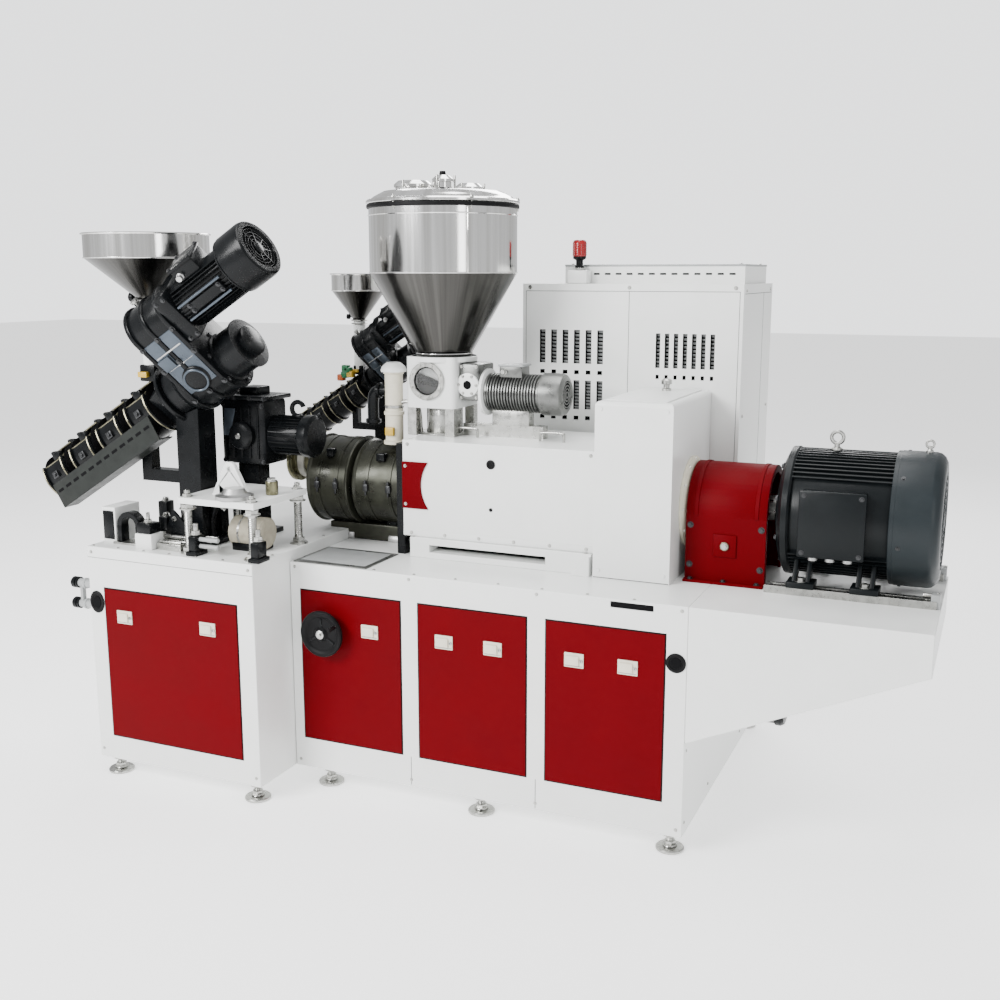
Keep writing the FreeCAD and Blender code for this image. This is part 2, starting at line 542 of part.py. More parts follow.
# ---------------------------------------------------------------- co-extruders
class CoExtruder:
    """An inclined single-screw unit. Its own frame has X up along the barrel and 0 at the feed throat."""

    def __init__(self, name, x, y, z, scale):
        self.name = name
        self.x, self.y, self.z = x, y, z
        self.scale = scale

    def place(self, shape, turn=0.0):
        """Turn a shape about the barrel's line, then scale, tilt and move it into the machine."""
        shape = shape.copy()
        shape.rotate(V(0, 0, 0), V(1, 0, 0), turn)
        if self.scale != 1.0:
            shape.scale(self.scale)
        shape.rotate(V(0, 0, 0), V(0, 1, 0), -INCLINE)
        shape.translate(V(self.x, self.y, self.z))
        return shape

    def barrel(self):
        """Barrel with its tip, and four cooling shrouds with raised lips, joined to it."""
        core = rod((-610, 0, 0), (1, 0, 0), 38, 560)
        tip = cone((-648, 0, 0), (1, 0, 0), 18, 38, 38)
        pieces = [core, tip]
        for start in (-590, -448, -306, -164):
            pieces.append(rod((start, 0, 0), (1, 0, 0), SHROUD_RADII[0], 104))
            pieces += [rod((start + lip, 0, 0), (1, 0, 0), SHROUD_RADII[1], 12) for lip in (0, 92)]
        return fuse(pieces)

    def tray(self):
        """Folded cable tray along the near side of the barrel."""
        near = -SHROUD_RADII[1] - 8
        side = box((-560, -70), (near, near + 4), (-112, -30))
        floor = box((-560, -70), (near, near + 64), (-116, -112))
        return fuse([side, floor])

    def gear_unit(self):
        """Feed block, flanged bell, offset gear case, and the thrust housing behind it."""
        feed = box((-50, 0), (-66, 66), (-62, 62))
        flange = rod((0, 0, 0), (1, 0, 0), 104, 14)
        bell = cone((14, 0, 0), (1, 0, 0), 88, 100, 76)
        low, high = GEAR_CASE_R
        case = fuse([rod((90, 0, 0), (1, 0, 0), low, 150), rod((90, 0, GEAR_CENTRES), (1, 0, 0), high, 150),
                     prism([(-low, 0), (low, 0), (high, GEAR_CENTRES), (-high, GEAR_CENTRES)], "yz", 90, 240)])
        thrust = fuse([rod((240, 0, 0), (1, 0, 0), 84, 92), rod((332, 0, 0), (1, 0, 0), 50, 22)])
        return fuse([feed, flange, bell, case, thrust])

    def motor(self):
        """Flanged motor on the offset shaft, with its cowl and terminal box."""
        z = GEAR_CENTRES
        adapter = box((240, 290), (-84, 84), (z - 84, z + 84))
        body = rod((290, 0, z), (1, 0, 0), 84, 215)
        cowl = rod((505, 0, z), (1, 0, 0), 92, 95)
        cowl = cowl.makeFillet(10, [edge for edge in cowl.Edges if abs(edge.CenterOfMass.x - 600) < 1
                                    and len(edge.Vertexes) == 1])
        terminal = box((340, 430), (-44, 44), (z + 60, z + 118))
        return fuse([adapter, body, cowl, terminal])

    def hopper_sizes(self):
        """Centre X, outlet, shoulder and rim heights, and rim radius of this unit's hopper."""
        size = self.scale
        x = self.x - 96 * size
        outlet = self.z + 300 * size ** 0.6
        shoulder = outlet + 134 * size ** 0.5
        return x, outlet, shoulder, shoulder + 76 * size ** 0.5, 196 * size ** 1.45

    def hopper(self):
        """Upright hopper above the feed throat, on its closed spout."""
        size = self.scale
        x, outlet, shoulder, rim, radius = self.hopper_sizes()
        spout_r = 26 * size + 6
        shell = hopper_shell(x, self.y, outlet, shoulder, rim, spout_r, radius, 2.5)
        spout = rod((x, self.y, self.z - 10), (0, 0, 1), spout_r, outlet - self.z + 10)
        return fuse([shell, spout]).cut(self.place(self.gear_unit(), self.turn())).cut(self.place(self.barrel()))

    def turn(self):
        """How far the offset shaft leans towards the operator about the barrel's line, in degrees."""
        return GEAR_TURN

    def stand(self):
        """Base plate, column and a side post, up to the gear case and the barrel."""
        size = self.scale
        x = self.x + 62 * size
        half = 44 * size
        plate = box((x - 90 * size, x + 90 * size), (self.y - 70 * size, self.y + 70 * size),
                    (DIE_TOP, DIE_TOP + 14))
        column = box((x - half, x + half), (self.y - half, self.y + half), (DIE_TOP + 14, self.z - 20 * size))
        arm_y = (self.y - 22 * size, self.y + 22 * size)
        arm = box((x - 210 * size, x - half), arm_y, (self.z - 290 * size, self.z - 250 * size))
        post = box((x - 210 * size, x - 170 * size), arm_y, (self.z - 290 * size, self.z - 90 * size))
        solid = cut(fuse([plate, column, arm, post]),
                    [self.place(self.gear_unit(), self.turn()), self.place(self.barrel())])
        return min(solid.Solids, key=lambda piece: piece.BoundBox.ZMin)

    def make(self):
        """Add this unit's nodes."""
        PARTS[self.name + "_barrel"] = self.place(self.barrel())
        PARTS[self.name + "_gear_unit"] = self.place(self.gear_unit(), self.turn())
        PARTS[self.name + "_motor"] = self.place(self.motor(), self.turn())
        PARTS[self.name + "_hopper"] = self.hopper()
        PARTS[self.name + "_stand"] = self.stand()


LARGE = CoExtruder("coex_large", -1712.0, -420.0, 1268.0, 1.0)
SMALL = CoExtruder("coex_small", -1385.0, 290.0, 1262.0, 0.62)


def make_co_extruders():
    """The large unit near the operator, with its cable tray, and the small one behind the barrel."""
    LARGE.make()
    PARTS["coex_large_tray"] = LARGE.place(LARGE.tray())
    SMALL.make()


# ---------------------------------------------------------------- handwheel
def wheel_place():
    """Centre of the handwheel's rim, on panel 1 of the base."""
    return door_spans()[0][0] + 97, BASE_FRONT - PANEL_PROUD - 12 - WHEEL_CLEARANCE - 18, 537.0


def make_handwheel():
    """Adjusting handwheel on panel 1: a bearing boss on the panel, and the dished wheel that turns on it."""
    x, rim_y, z = wheel_place()
    PARTS["handwheel_boss"] = rod((x, BASE_FRONT - PANEL_PROUD, z), (0, -1, 0), 30, 12)
    web_r = WHEEL_R - 2 * WHEEL_RIM
    outline = [(0, 18), (WHEEL_HUB_R, 18), (WHEEL_HUB_R, 4), (web_r, 4), (web_r + 6, WHEEL_RIM),
               (WHEEL_R - 5, WHEEL_RIM), (WHEEL_R, 4), (WHEEL_R, -4), (WHEEL_R - 5, -WHEEL_RIM),
               (web_r + 6, -WHEEL_RIM), (web_r, -3), (WHEEL_HUB_R, -3), (WHEEL_HUB_R, -12), (0, -12)]
    corners = [V(x + reach, rim_y + depth, z) for reach, depth in outline]
    disc = Part.Face(Part.makePolygon(corners + corners[:1])).revolve(V(x, 0, z), V(0, 1, 0), 360)
    grip_r = WHEEL_R - WHEEL_RIM
    grip_x, grip_z = x + grip_r * math.cos(math.radians(30)), z + grip_r * math.sin(math.radians(30))
    grip = rod((grip_x, rim_y, grip_z), (0, -1, 0), 7, 52)
    PARTS["handwheel"] = fuse([disc, grip])


# ---------------------------------------------------------------- the whole machine
def build():
    """Make every node in the drawing frame."""
    make_base()
    make_latches()
    make_feet()
    make_motor_platform()
    make_pump_motor()
    make_main_motor()
    make_coupling_guard()
    make_gear_housing()
    make_barrel()
    make_barrel_cover()
    make_main_hopper()
    make_feeder()
    make_vent_stack()
    make_electrical_cabinet()
    make_die_cabinet()
    make_die_platform()
    make_side_drive()
    make_co_extruders()
    make_handwheel()


def footprint_shift():
    """How far the drawing moves so that the origin is under the middle of the whole machine."""
    whole = FreeCAD.BoundBox()
    for shape in PARTS.values():
        whole.add(shape.optimalBoundingBox(True, False))
    return V(-whole.Center.x, -whole.Center.y, 0)


def export():
    """Move the parts to their final frame and write one STEP file for each node."""
    os.makedirs("parts", exist_ok=True)
    shift = footprint_shift()
    for name, shape in PARTS.items():
        shape = shape.copy()
        shape.translate(shift)
        shape.exportStep("parts/%s.step" % name)
        print("%-22s solids %2d  volume %8.4f dm3  valid %s"
              % (name, len(shape.Solids), shape.Volume / 1e6, shape.isValid()))
    print("nodes", len(PARTS), "shift", [round(value, 3) for value in shift])


build()
export()
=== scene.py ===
"""Looks of a conical twin-screw plastic extruder with two inclined co-extruders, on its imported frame.

Sizes are millimetres in the drawing's frame: X is 0 at the drive end of the base, Y is 0 on the barrel's
line, Z is 0 on the floor, and the operator's side is -Y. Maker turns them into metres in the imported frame.
"""
import json
import logging
from dataclasses import dataclass, field, replace
from enum import Enum
from math import cos, pi, radians, sin, tau
from typing import Sequence

import bmesh
import bpy
from mathutils import Matrix, Vector

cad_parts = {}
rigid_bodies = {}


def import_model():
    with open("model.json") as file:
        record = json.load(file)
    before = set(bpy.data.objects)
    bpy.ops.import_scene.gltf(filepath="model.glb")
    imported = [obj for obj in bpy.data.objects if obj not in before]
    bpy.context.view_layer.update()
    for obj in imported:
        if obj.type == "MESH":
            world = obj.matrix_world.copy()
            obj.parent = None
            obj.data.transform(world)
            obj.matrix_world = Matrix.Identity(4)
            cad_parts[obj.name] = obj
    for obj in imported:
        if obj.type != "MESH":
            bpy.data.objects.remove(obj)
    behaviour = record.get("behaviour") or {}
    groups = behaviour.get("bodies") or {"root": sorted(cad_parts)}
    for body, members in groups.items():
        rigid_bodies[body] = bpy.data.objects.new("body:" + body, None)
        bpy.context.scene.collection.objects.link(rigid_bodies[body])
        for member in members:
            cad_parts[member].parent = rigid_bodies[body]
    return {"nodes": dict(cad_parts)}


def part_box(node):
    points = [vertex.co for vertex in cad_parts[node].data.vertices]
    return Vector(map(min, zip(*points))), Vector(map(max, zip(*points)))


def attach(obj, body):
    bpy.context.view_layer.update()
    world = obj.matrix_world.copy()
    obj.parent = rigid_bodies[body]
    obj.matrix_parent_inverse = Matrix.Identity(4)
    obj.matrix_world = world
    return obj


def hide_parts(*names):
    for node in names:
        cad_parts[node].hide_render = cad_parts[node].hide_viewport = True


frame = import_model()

log = logging.getLogger("extruder")

Point = Sequence[float]
Span = tuple[float, float]
Colour = tuple[float, float, float]

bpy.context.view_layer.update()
BASE_LOW, BASE_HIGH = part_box("base_frame")
BASE_FRONT = -430.0        # the base's front face in the drawing
DECK = 750.0               # top of the base
SHAFT = 962.0              # axis of the drive motor and of the gear housing's input
DRAWING = (Matrix.Translation((BASE_HIGH.x, BASE_LOW.y - BASE_FRONT / 1000, 0)) @ Matrix.Scale(0.001, 4))
SHARP = radians(33)   # creases above this angle stay sharp
MACHINE, WHEEL = "machine", "handwheel"
UP, DOWN, RIGHT, LEFT = (0, 0, 1), (0, 0, -1), (1, 0, 0), (-1, 0, 0)
FRONT, BACK = (0, -1, 0), (0, 1, 0)


def about(middle: float, half: float) -> Span:
    """Returns the span that reaches half to each side of a middle."""
    return middle - half, middle + half


def around(count: int, radius: float, first: float = 0.0) -> list[Span]:
    """Returns evenly spaced points round a circle, starting at an angle in radians."""
    turns = (first + tau * k / count for k in range(count))
    return [(radius * cos(turn), radius * sin(turn)) for turn in turns]


def placed(spot: Point) -> Matrix:
    """Returns the drawing's frame, moved to a spot of the drawing."""
    return DRAWING @ Matrix.Translation(spot)


def show(thing: bpy.types.Object) -> None:
    """Links an object to the scene."""
    bpy.context.scene.collection.objects.link(thing)


def to_axis(profile: Sequence[Span]) -> list[Span]:
    """Returns a (radius, height) profile with both of its ends led straight to the axis."""
    (first, low), (last, high) = profile[0], profile[-1]
    return [(0, low)] * bool(first) + list(profile) + [(0, high)] * bool(last)


class Grain(Enum):
    """Pattern of a finish."""

    EVEN = "even"          # paint, moulded plastic, cast metal: the same in every direction
    ROUND = "round"        # painted reflection streaks up a shell, round its axis
    LONG = "long"          # brushed along one direction


class Wiring:
    """Adds nodes to a tree, with their values and links, in one call each."""

    def __init__(self, tree: bpy.types.NodeTree) -> None:
        """Keeps the tree."""
        self.tree = tree

    def add(self, kind: str, values: dict[str | int, object], **settings: object) -> bpy.types.Node:
        """Adds one node.

        Args:
            kind: the node's type.
            values: its inputs by name or place, each a value or the output socket that feeds it.
            settings: its properties.

        Returns:
            The new node.
        """
        node = self.tree.nodes.new(kind)
        for key, value in settings.items():
            setattr(node, key, value)
        for key, value in values.items():
            if isinstance(value, bpy.types.NodeSocket):
                self.tree.links.new(value, node.inputs[key])
            else:
                node.inputs[key].default_value = value
        return node

    def maths(self, operation: str, first: object, second: object = 0.0) -> bpy.types.NodeSocket:
        """Adds a Math node and returns its output."""
        return self.add("ShaderNodeMath", {0: first, 1: second}, operation=operation).outputs[0]


@dataclass(frozen=True)
class Finish:
    """A procedural finish: base colour with broad mottling, fine grain in the relief, and soiling."""

    name: str
    colour: Colour
    roughness: float = 0.4
    metallic: float = 0.0
    coat: float = 0.0
    mottle: float = 0.06           # how far the colour drifts, as a share
    patch: float = 0.12            # size of that drift, in metres
    grain: float = 0.0025          # size of the fine relief, in metres
    relief: float = 0.04           # strength of the fine relief
    gloss_drift: float = 0.08      # how far the roughness drifts
    soil: float = 0.0              # share of the surface that is soiled
    soil_colour: Colour = (0.12, 0.10, 0.08)
    pattern: Grain = Grain.EVEN
    centre: tuple[float, float, float] = (0.0, 0.0, 0.0)   # middle of the pattern, in metres
    turn: tuple[float, float, float] = (0.0, 0.0, 0.0)
    transmission: float = 0.0
    gleam: float = 0.5             # specular level
    glow: float = 0.0              # light of its own, for the floor

    def but(self, name: str, colour: Colour, **changes: object) -> "Finish":
        """Returns a finish like this one, with another name, another colour and other changes."""
        return replace(self, name=name, colour=colour, **changes)

    def place(self, wires: Wiring) -> bpy.types.NodeSocket:
        """Returns the coordinates that the pattern follows."""
        raw = wires.add("ShaderNodeTexCoord", {}).outputs["Object"]
        if self.pattern is Grain.EVEN:
            return raw
        moved = wires.add(
            "ShaderNodeMapping", {"Vector": raw, "Location": self.centre, "Rotation": self.turn},
            vector_type="TEXTURE").outputs[0]
        if self.pattern is Grain.LONG:
            return wires.add("ShaderNodeMapping", {"Vector": moved, "Scale": (0.04, 1.0, 1.0)}).outputs[0]
        parts = wires.add("ShaderNodeSeparateXYZ", {0: moved}).outputs
        angle = wires.maths("ARCTAN2", parts[1], parts[0])
        bend = wires.maths("SINE", angle), wires.maths("COSINE", angle)
        return wires.add(
            "ShaderNodeCombineXYZ", {0: wires.maths("MULTIPLY", bend[0], 0.28),
            1: wires.maths("MULTIPLY", bend[1], 0.28), 2: wires.maths("MULTIPLY", parts[2], 0.02)}).outputs[0]

    def material(self) -> bpy.types.Material:
        """Builds the material on first use, and returns it."""
        known = bpy.data.materials.get(self.name)
        if known:
            return known
        made = bpy.data.materials.new(self.name)
        made.use_nodes = True
        wires = Wiring(made.node_tree)
        shader = made.node_tree.nodes["Principled BSDF"]
        where = self.place(wires)
        broad = wires.add(
            "ShaderNodeTexNoise", {"Vector": where, "Scale": 1 / self.patch, "Detail": 4.0,
            "Roughness": 0.62}).outputs[0]
        fine = wires.add(
            "ShaderNodeTexNoise", {"Vector": where, "Scale": 1 / self.grain, "Detail": 2.0}).outputs[0]
        ramp = wires.add("ShaderNodeMapRange", {0: broad, 1: 0.3, 2: 0.7, 3: 0.0, 4: 1.0}).outputs[0]
        dark = tuple(c * (1 - self.mottle) for c in self.colour) + (1.0,)
        light = tuple(min(1.0, c * (1 + self.mottle)) for c in self.colour) + (1.0,)
        tint = wires.add("ShaderNodeMix", {0: ramp, 6: dark, 7: light}, data_type="RGBA").outputs[2]
        if self.soil:
            stain = wires.add(
                "ShaderNodeTexNoise", {"Vector": where, "Scale": 0.37 / self.patch, "Detail": 9.0,
                "Roughness": 0.7, "Distortion": 0.6}).outputs[0]
            amount = wires.add(
                "ShaderNodeMapRange", {0: stain, 1: 0.52, 2: 0.78, 3: 0.0, 4: self.soil}).outputs[0]
            tint = wires.add("ShaderNodeMix", {0: amount, 6: tint, 7: self.soil_colour + (1.0,)},
                             data_type="RGBA").outputs[2]
        gloss = wires.add(
            "ShaderNodeMapRange", {0: broad, 1: 0.3, 2: 0.7, 3: max(0.02, self.roughness - self.gloss_drift),
            4: min(1.0, self.roughness + self.gloss_drift)}).outputs[0]
        bump = wires.add(
            "ShaderNodeBump", {"Strength": self.relief, "Distance": self.grain * 0.6,
            "Height": fine}).outputs[0]
        for name, feed in (("Base Color", tint), ("Roughness", gloss), ("Normal", bump)):
            made.node_tree.links.new(feed, shader.inputs[name])
        for name, value in (
                ("Metallic", self.metallic), ("Coat Weight", self.coat), ("Coat Roughness", 0.12),
                ("Transmission Weight", self.transmission), ("Specular IOR Level", self.gleam),
                ("Emission Strength", self.glow)):
            shader.inputs[name].default_value = value
        return made


WHITE = Finish(
    "machine_white", (0.78, 0.79, 0.775), 0.38, coat=0.12, mottle=0.02, grain=0.0016, relief=0.05, soil=0.08,
    soil_colour=(0.42, 0.40, 0.36))
RED = Finish(
    "machine_red", (0.100, 0.0002, 0.0026), 0.52, patch=0.2, grain=0.0014, relief=0.05, soil=0.10,
    soil_colour=(0.06, 0.0002, 0.0008), gleam=0.04)
CREAM = Finish("cream_plastic", (0.66, 0.62, 0.50), 0.42, mottle=0.05, patch=0.03, grain=0.001, relief=0.03)
CERAMIC = CREAM.but(
    "white_ceramic_band", (0.60, 0.58, 0.52), roughness=0.6, mottle=0.12, patch=0.015, relief=0.2)
RUBBER = Finish(
    "black_rubber", (0.0040, 0.0040, 0.0044), 0.50, mottle=0.2, patch=0.03, grain=0.0008, relief=0.12,
    gleam=0.12)
BLACK = Finish(
    "black_paint", (0.0036, 0.0042, 0.0048), 0.27, coat=0.02, mottle=0.25, patch=0.05, grain=0.002,
    relief=0.10, soil=0.2, soil_colour=(0.011, 0.010, 0.009), gleam=0.14)
# near-black finish that paints the shade inside holes, slots and openings
SHADOW = Finish(
    "dark_inside", (0.003, 0.003, 0.0035), 0.85, mottle=0.3, patch=0.02, grain=0.002, relief=0.1, gleam=0.1)
MOTOR_DARK = Finish(
    "dark_cast_paint", (0.0045, 0.0060, 0.0068), 0.36, coat=0.02, mottle=0.15, patch=0.09, grain=0.0022,
    relief=0.2, soil=0.15, soil_colour=(0.012, 0.013, 0.012), gleam=0.15)
MOTOR_BLUE = MOTOR_DARK.but(
    "blue_grey_cast_paint", (0.0125, 0.0170, 0.0195), roughness=0.40, coat=0.03, mottle=0.12,
    soil_colour=(0.030, 0.031, 0.029), gleam=0.2)
STEEL = Finish(
    "bare_steel", (0.44, 0.44, 0.42), 0.30, 1.0, mottle=0.16, patch=0.02, grain=0.0012, relief=0.08,
    gloss_drift=0.12, soil=0.3, soil_colour=(0.12, 0.11, 0.09))
BRONZE = STEEL.but(
    "heat_tinted_lip", (0.20, 0.185, 0.125), metallic=0.85, mottle=0.35, relief=0.1, soil=0.45,
    soil_colour=(0.03, 0.028, 0.02))
ADAPTER = STEEL.but(
    "blued_adapter_steel", (0.20, 0.19, 0.115), roughness=0.33, metallic=0.9, mottle=0.25, patch=0.025,
    grain=0.001, soil=0.35, soil_colour=(0.05, 0.045, 0.025))
OLIVE = STEEL.but(
    "heat_darkened_shroud", (0.030, 0.031, 0.022), roughness=0.34, metallic=0.6, mottle=0.4, patch=0.06,
    grain=0.002, relief=0.12, soil=0.5, soil_colour=(0.010, 0.010, 0.008))
FACE_BLUE = STEEL.but(
    "silver_blue_face", (0.058, 0.072, 0.090), roughness=0.34, metallic=0.6, mottle=0.18, patch=0.04,
    grain=0.0015, soil=0.2, soil_colour=(0.03, 0.034, 0.042))
SILVER = STEEL.but(
    "cast_aluminium", (0.46, 0.46, 0.455), roughness=0.38, metallic=0.9, mottle=0.12, patch=0.03,
    grain=0.0018, relief=0.2, soil=0.2, soil_colour=(0.15, 0.14, 0.13))
WEATHERED = SILVER.but(
    "weathered_aluminium", (0.155, 0.158, 0.152), roughness=0.34, metallic=0.85, mottle=0.22, soil=0.45,
    soil_colour=(0.05, 0.05, 0.046))
BOLT_BLACK = Finish(
    "blackened_bolt_steel", (0.045, 0.046, 0.048), 0.36, 0.8, mottle=0.2, patch=0.01, grain=0.001,
    relief=0.08, gleam=0.4)
GREY = Finish(
    "grey_cast_paint", (0.30, 0.31, 0.31), 0.42, mottle=0.08, patch=0.05, grain=0.002, relief=0.2, soil=0.15)
TRAY_GREY = Finish(
    "dark_tray_sheet", (0.0115, 0.0135, 0.0120), 0.46, mottle=0.2, patch=0.04, grain=0.001, relief=0.05,
    soil=0.2, soil_colour=(0.035, 0.034, 0.030), gleam=0.2)
BEIGE = Finish(
    "beige_blanket", (0.34, 0.31, 0.24), 0.75, mottle=0.16, patch=0.02, grain=0.0022, relief=0.5, soil=0.4,
    soil_colour=(0.14, 0.12, 0.085))
YELLOW = Finish("yellow_terminal", (0.52, 0.33, 0.03), mottle=0.08, patch=0.01, grain=0.0008)
ORANGE = YELLOW.but("orange_terminal", (0.42, 0.08, 0.012))
GREEN = YELLOW.but("green_terminal", (0.004, 0.12, 0.038), mottle=0.12)
GLASS = Finish(
    "sight_glass", (1.0, 1.0, 1.0), 0.03, mottle=0.01, gloss_drift=0.01, relief=0.0, transmission=1.0,
    gleam=0.08)
LENS = Finish(
    "red_beacon_lens", (0.30, 0.0015, 0.004), 0.22, coat=0.3, mottle=0.12, patch=0.02, transmission=0.15)
GRANULES = Finish(
    "plastic_granules", (0.030, 0.030, 0.028), 0.5, mottle=0.5, patch=0.006, grain=0.001, relief=0.1)


def polished(name: str, x: float, y: float, shade: float, rough: float, streak: float = 0.34) -> Finish:
    """Makes stainless steel whose painted reflection streaks run round an upright axis.

    Args:
        name: the finish's name.
        x, y: the axis, in the drawing.
        shade: brightness of the steel, which paints how bright or dark its reflection is.
        rough: its roughness.
        streak: how far its brightness drifts round the axis, in painted reflection streaks.

    Returns:
        The finish.
    """
    centre = DRAWING @ Vector((x, y, 0))
    return Finish(
        name, (shade, shade * 0.975, shade * 0.92), rough, 1.0, mottle=streak, patch=0.075, grain=0.0016,
        relief=0.035, gloss_drift=0.07, pattern=Grain.ROUND, centre=tuple(centre))


class Maker:
    """Collects closed solids of several finishes in one mesh."""

    def __init__(self, finish: Finish, place: Matrix | None = None) -> None:
        """Starts an empty mesh.

        Args:
            finish: the finish of the first solids.
            place: the unit's own frame in the drawing, or None for the drawing itself.
        """
        self.mesh = bmesh.new()
        self.finishes = [finish]
        self.slot = 0
        self.place = DRAWING @ (place or Matrix.Identity(4))

    def use(self, finish: Finish) -> "Maker":
        """Gives the next solids another finish.

        Args:
            finish: the finish.

        Returns:
            This maker.
        """
        if finish not in self.finishes:
            self.finishes.append(finish)
        self.slot = self.finishes.index(finish)
        return self

    def take(self, part: bmesh.types.BMesh, turn: Matrix | None = None) -> "Maker":
        """Adds a closed solid, facing outwards, and frees it.

        Args:
            part: the solid, in this maker's frame.
            turn: how it is moved first.

        Returns:
            This maker.
        """
        bmesh.ops.recalc_face_normals(part, faces=part.faces)
        part.transform(self.place @ (turn or Matrix.Identity(4)))
        for face in part.faces:
            face.material_index = self.slot
            face.smooth = True
        loose = bpy.data.meshes.new("loose")
        part.to_mesh(loose)
        part.free()
        self.mesh.from_mesh(loose)
        bpy.data.meshes.remove(loose)
        return self

    def block(self, x: Span, y: Span, z: Span, edge: float = 1.5, turn: Matrix | None = None) -> "Maker":
        """Adds a block with softened edges.

        Args:
            x, y, z: its spans, either way round.
            edge: width of the softened edge.
            turn: how it is moved afterwards.

        Returns:
            This maker.
        """
        part = bmesh.new()
        size = [abs(b - a) for a, b in (x, y, z)]
        middle = [(a + b) / 2 for a, b in (x, y, z)]
        bmesh.ops.create_cube(part, size=1, matrix=Matrix.Translation(middle) @ Matrix.Diagonal((*size, 1)))
        if edge:
            bmesh.ops.bevel(
                part, geom=part.edges[:], offset=min(edge, min(size) * 0.45), segments=2, profile=0.5,
                affect="EDGES")
        return self.take(part, turn)

    def prism(self, outline: Sequence[tuple[float, float]], plane: str, low: float, high: float,
              edge: float = 1.5, turn: Matrix | None = None) -> "Maker":
        """Adds an outline drawn out along the third axis.

        Args:
            outline: corners in the plane.
            plane: "xz", "yz" or "xy".
            low, high: where the solid starts and ends on the third axis.
            edge: width of the softened edge.
            turn: how it is moved afterwards.

        Returns:
            This maker.
        """
        spot = {"xz": lambda a, b, c: (a, c, b), "yz": lambda a, b, c: (c, a, b),
                "xy": lambda a, b, c: (a, b, c)}[plane]
        part = bmesh.new()
        floor = [part.verts.new(spot(a, b, low)) for a, b in outline]
        roof = [part.verts.new(spot(a, b, high)) for a, b in outline]
        part.faces.new(floor)
        part.faces.new(roof[::-1])
        count = len(outline)
        for k in range(count):
            part.faces.new((floor[k], roof[k], roof[(k + 1) % count], floor[(k + 1) % count]))
        bmesh.ops.recalc_face_normals(part, faces=part.faces)
        if edge:
            rims = [e for e in part.edges if e.calc_face_angle(0) > 0.5]
            bmesh.ops.bevel(part, geom=rims, offset=edge, segments=2, profile=0.5, affect="EDGES")
        return self.take(part, turn)

    def lathe(
            self, profile: Sequence[tuple[float, float]], start: Point, along: Point, sides: int = 40,
            sweep: float = 360.0, first: float = 0.0, closed: bool = False, squash: float = 1.0) -> "Maker":
        """Adds a turned solid.

        Args:
            profile: (radius, height) points from one end to the other, or round a closed loop. Open ends are
                led straight to the axis.
            start: where height is 0.
            along: the axis.
            sides: number of flats.
            sweep, first: how far the profile turns and from which angle, in degrees.
            closed: whether the profile is a loop, as of a ring.
            squash: scale of its second cross axis, for oval pieces.

        Returns:
            This maker.
        """
        part = bmesh.new()
        full = sweep >= 360
        steps = len(profile)
        if not closed:
            profile = to_axis(profile)
            steps = len(profile) - 1
        poles = {j: part.verts.new((0, 0, h)) for j, (r, h) in enumerate(profile) if not r}
        grid = []
        for k in range(sides if full else sides + 1):
            angle = radians(first + sweep * k / sides)
            c, s = cos(angle), sin(angle) * squash
            grid.append([poles[j] if j in poles else part.verts.new((r * c, r * s, h))
                         for j, (r, h) in enumerate(profile)])
        for k in range(sides):
            here, there = grid[k], grid[(k + 1) % len(grid)]
            for j in range(steps):
                n = (j + 1) % len(profile)
                corners = list(dict.fromkeys((here[j], here[n], there[n], there[j])))
                if len(corners) > 2:
                    part.faces.new(corners)
        if not full:
            part.faces.new(grid[0])
            part.faces.new(grid[-1][::-1])
        basis = Vector(along).to_track_quat("Z", "Y").to_matrix().to_4x4()
        return self.take(part, Matrix.Translation(start) @ basis)

    def rod(self, start: Point, along: Point, radius: float, length: float, edge: float = 1.5,
            sides: int = 32) -> "Maker":
        """Adds a round bar with softened rims.

        Args:
            start: middle of the near end.
            along: the axis.
            radius, length: its sizes.
            edge: width of the softened rims.
            sides: number of flats.

        Returns:
            This maker.
        """
        e = min(edge, radius * 0.4, length * 0.4)
        return self.lathe(
            [(radius - e, 0), (radius - e * 0.3, e * 0.3), (radius, e), (radius, length - e),
            (radius - e * 0.3, length - e * 0.3), (radius - e, length)], start, along, sides)

    def ring(self, start: Point, along: Point, outer: float, inner: float, length: float, edge: float = 1.2,
             sides: int = 48, sweep: float = 360.0, first: float = 0.0) -> "Maker":
        """Adds a ring, or an arc of one, with softened rims.

        Args:
            start: middle of the near end.
            along: the axis.
            outer, inner, length: its sizes.
            edge: width of the softened rims.
            sides: number of flats.
            sweep, first: length and start of an arc, in degrees.

        Returns:
            This maker.
        """
        e = min(edge, (outer - inner) * 0.35, length * 0.35)
        loop = [
            (inner, e), (inner + e, 0), (outer - e, 0), (outer, e), (outer, length - e), (outer - e, length),
            (inner + e, length), (inner, length - e)]
        return self.lathe(loop, start, along, sides, sweep, first, True)

    def torus(self, centre: Point, along: Point, radius: float, thick: float, sides: int = 40,
              sweep: float = 360.0, first: float = 0.0, rounds: int = 10) -> "Maker":
        """Adds a round bar bent to a ring, or to an arc of one.

        Args:
            centre: middle of the ring.
            along: the axis.
            radius, thick: radius of the ring and of the bar.
            sides, rounds: number of flats of each.
            sweep, first: length and start of an arc, in degrees.

        Returns:
            This maker.
        """
        loop = [
            (radius + thick * cos(tau * k / rounds), thick * sin(tau * k / rounds)) for k in range(rounds)]
        return self.lathe(loop, centre, along, sides, sweep, first, True)

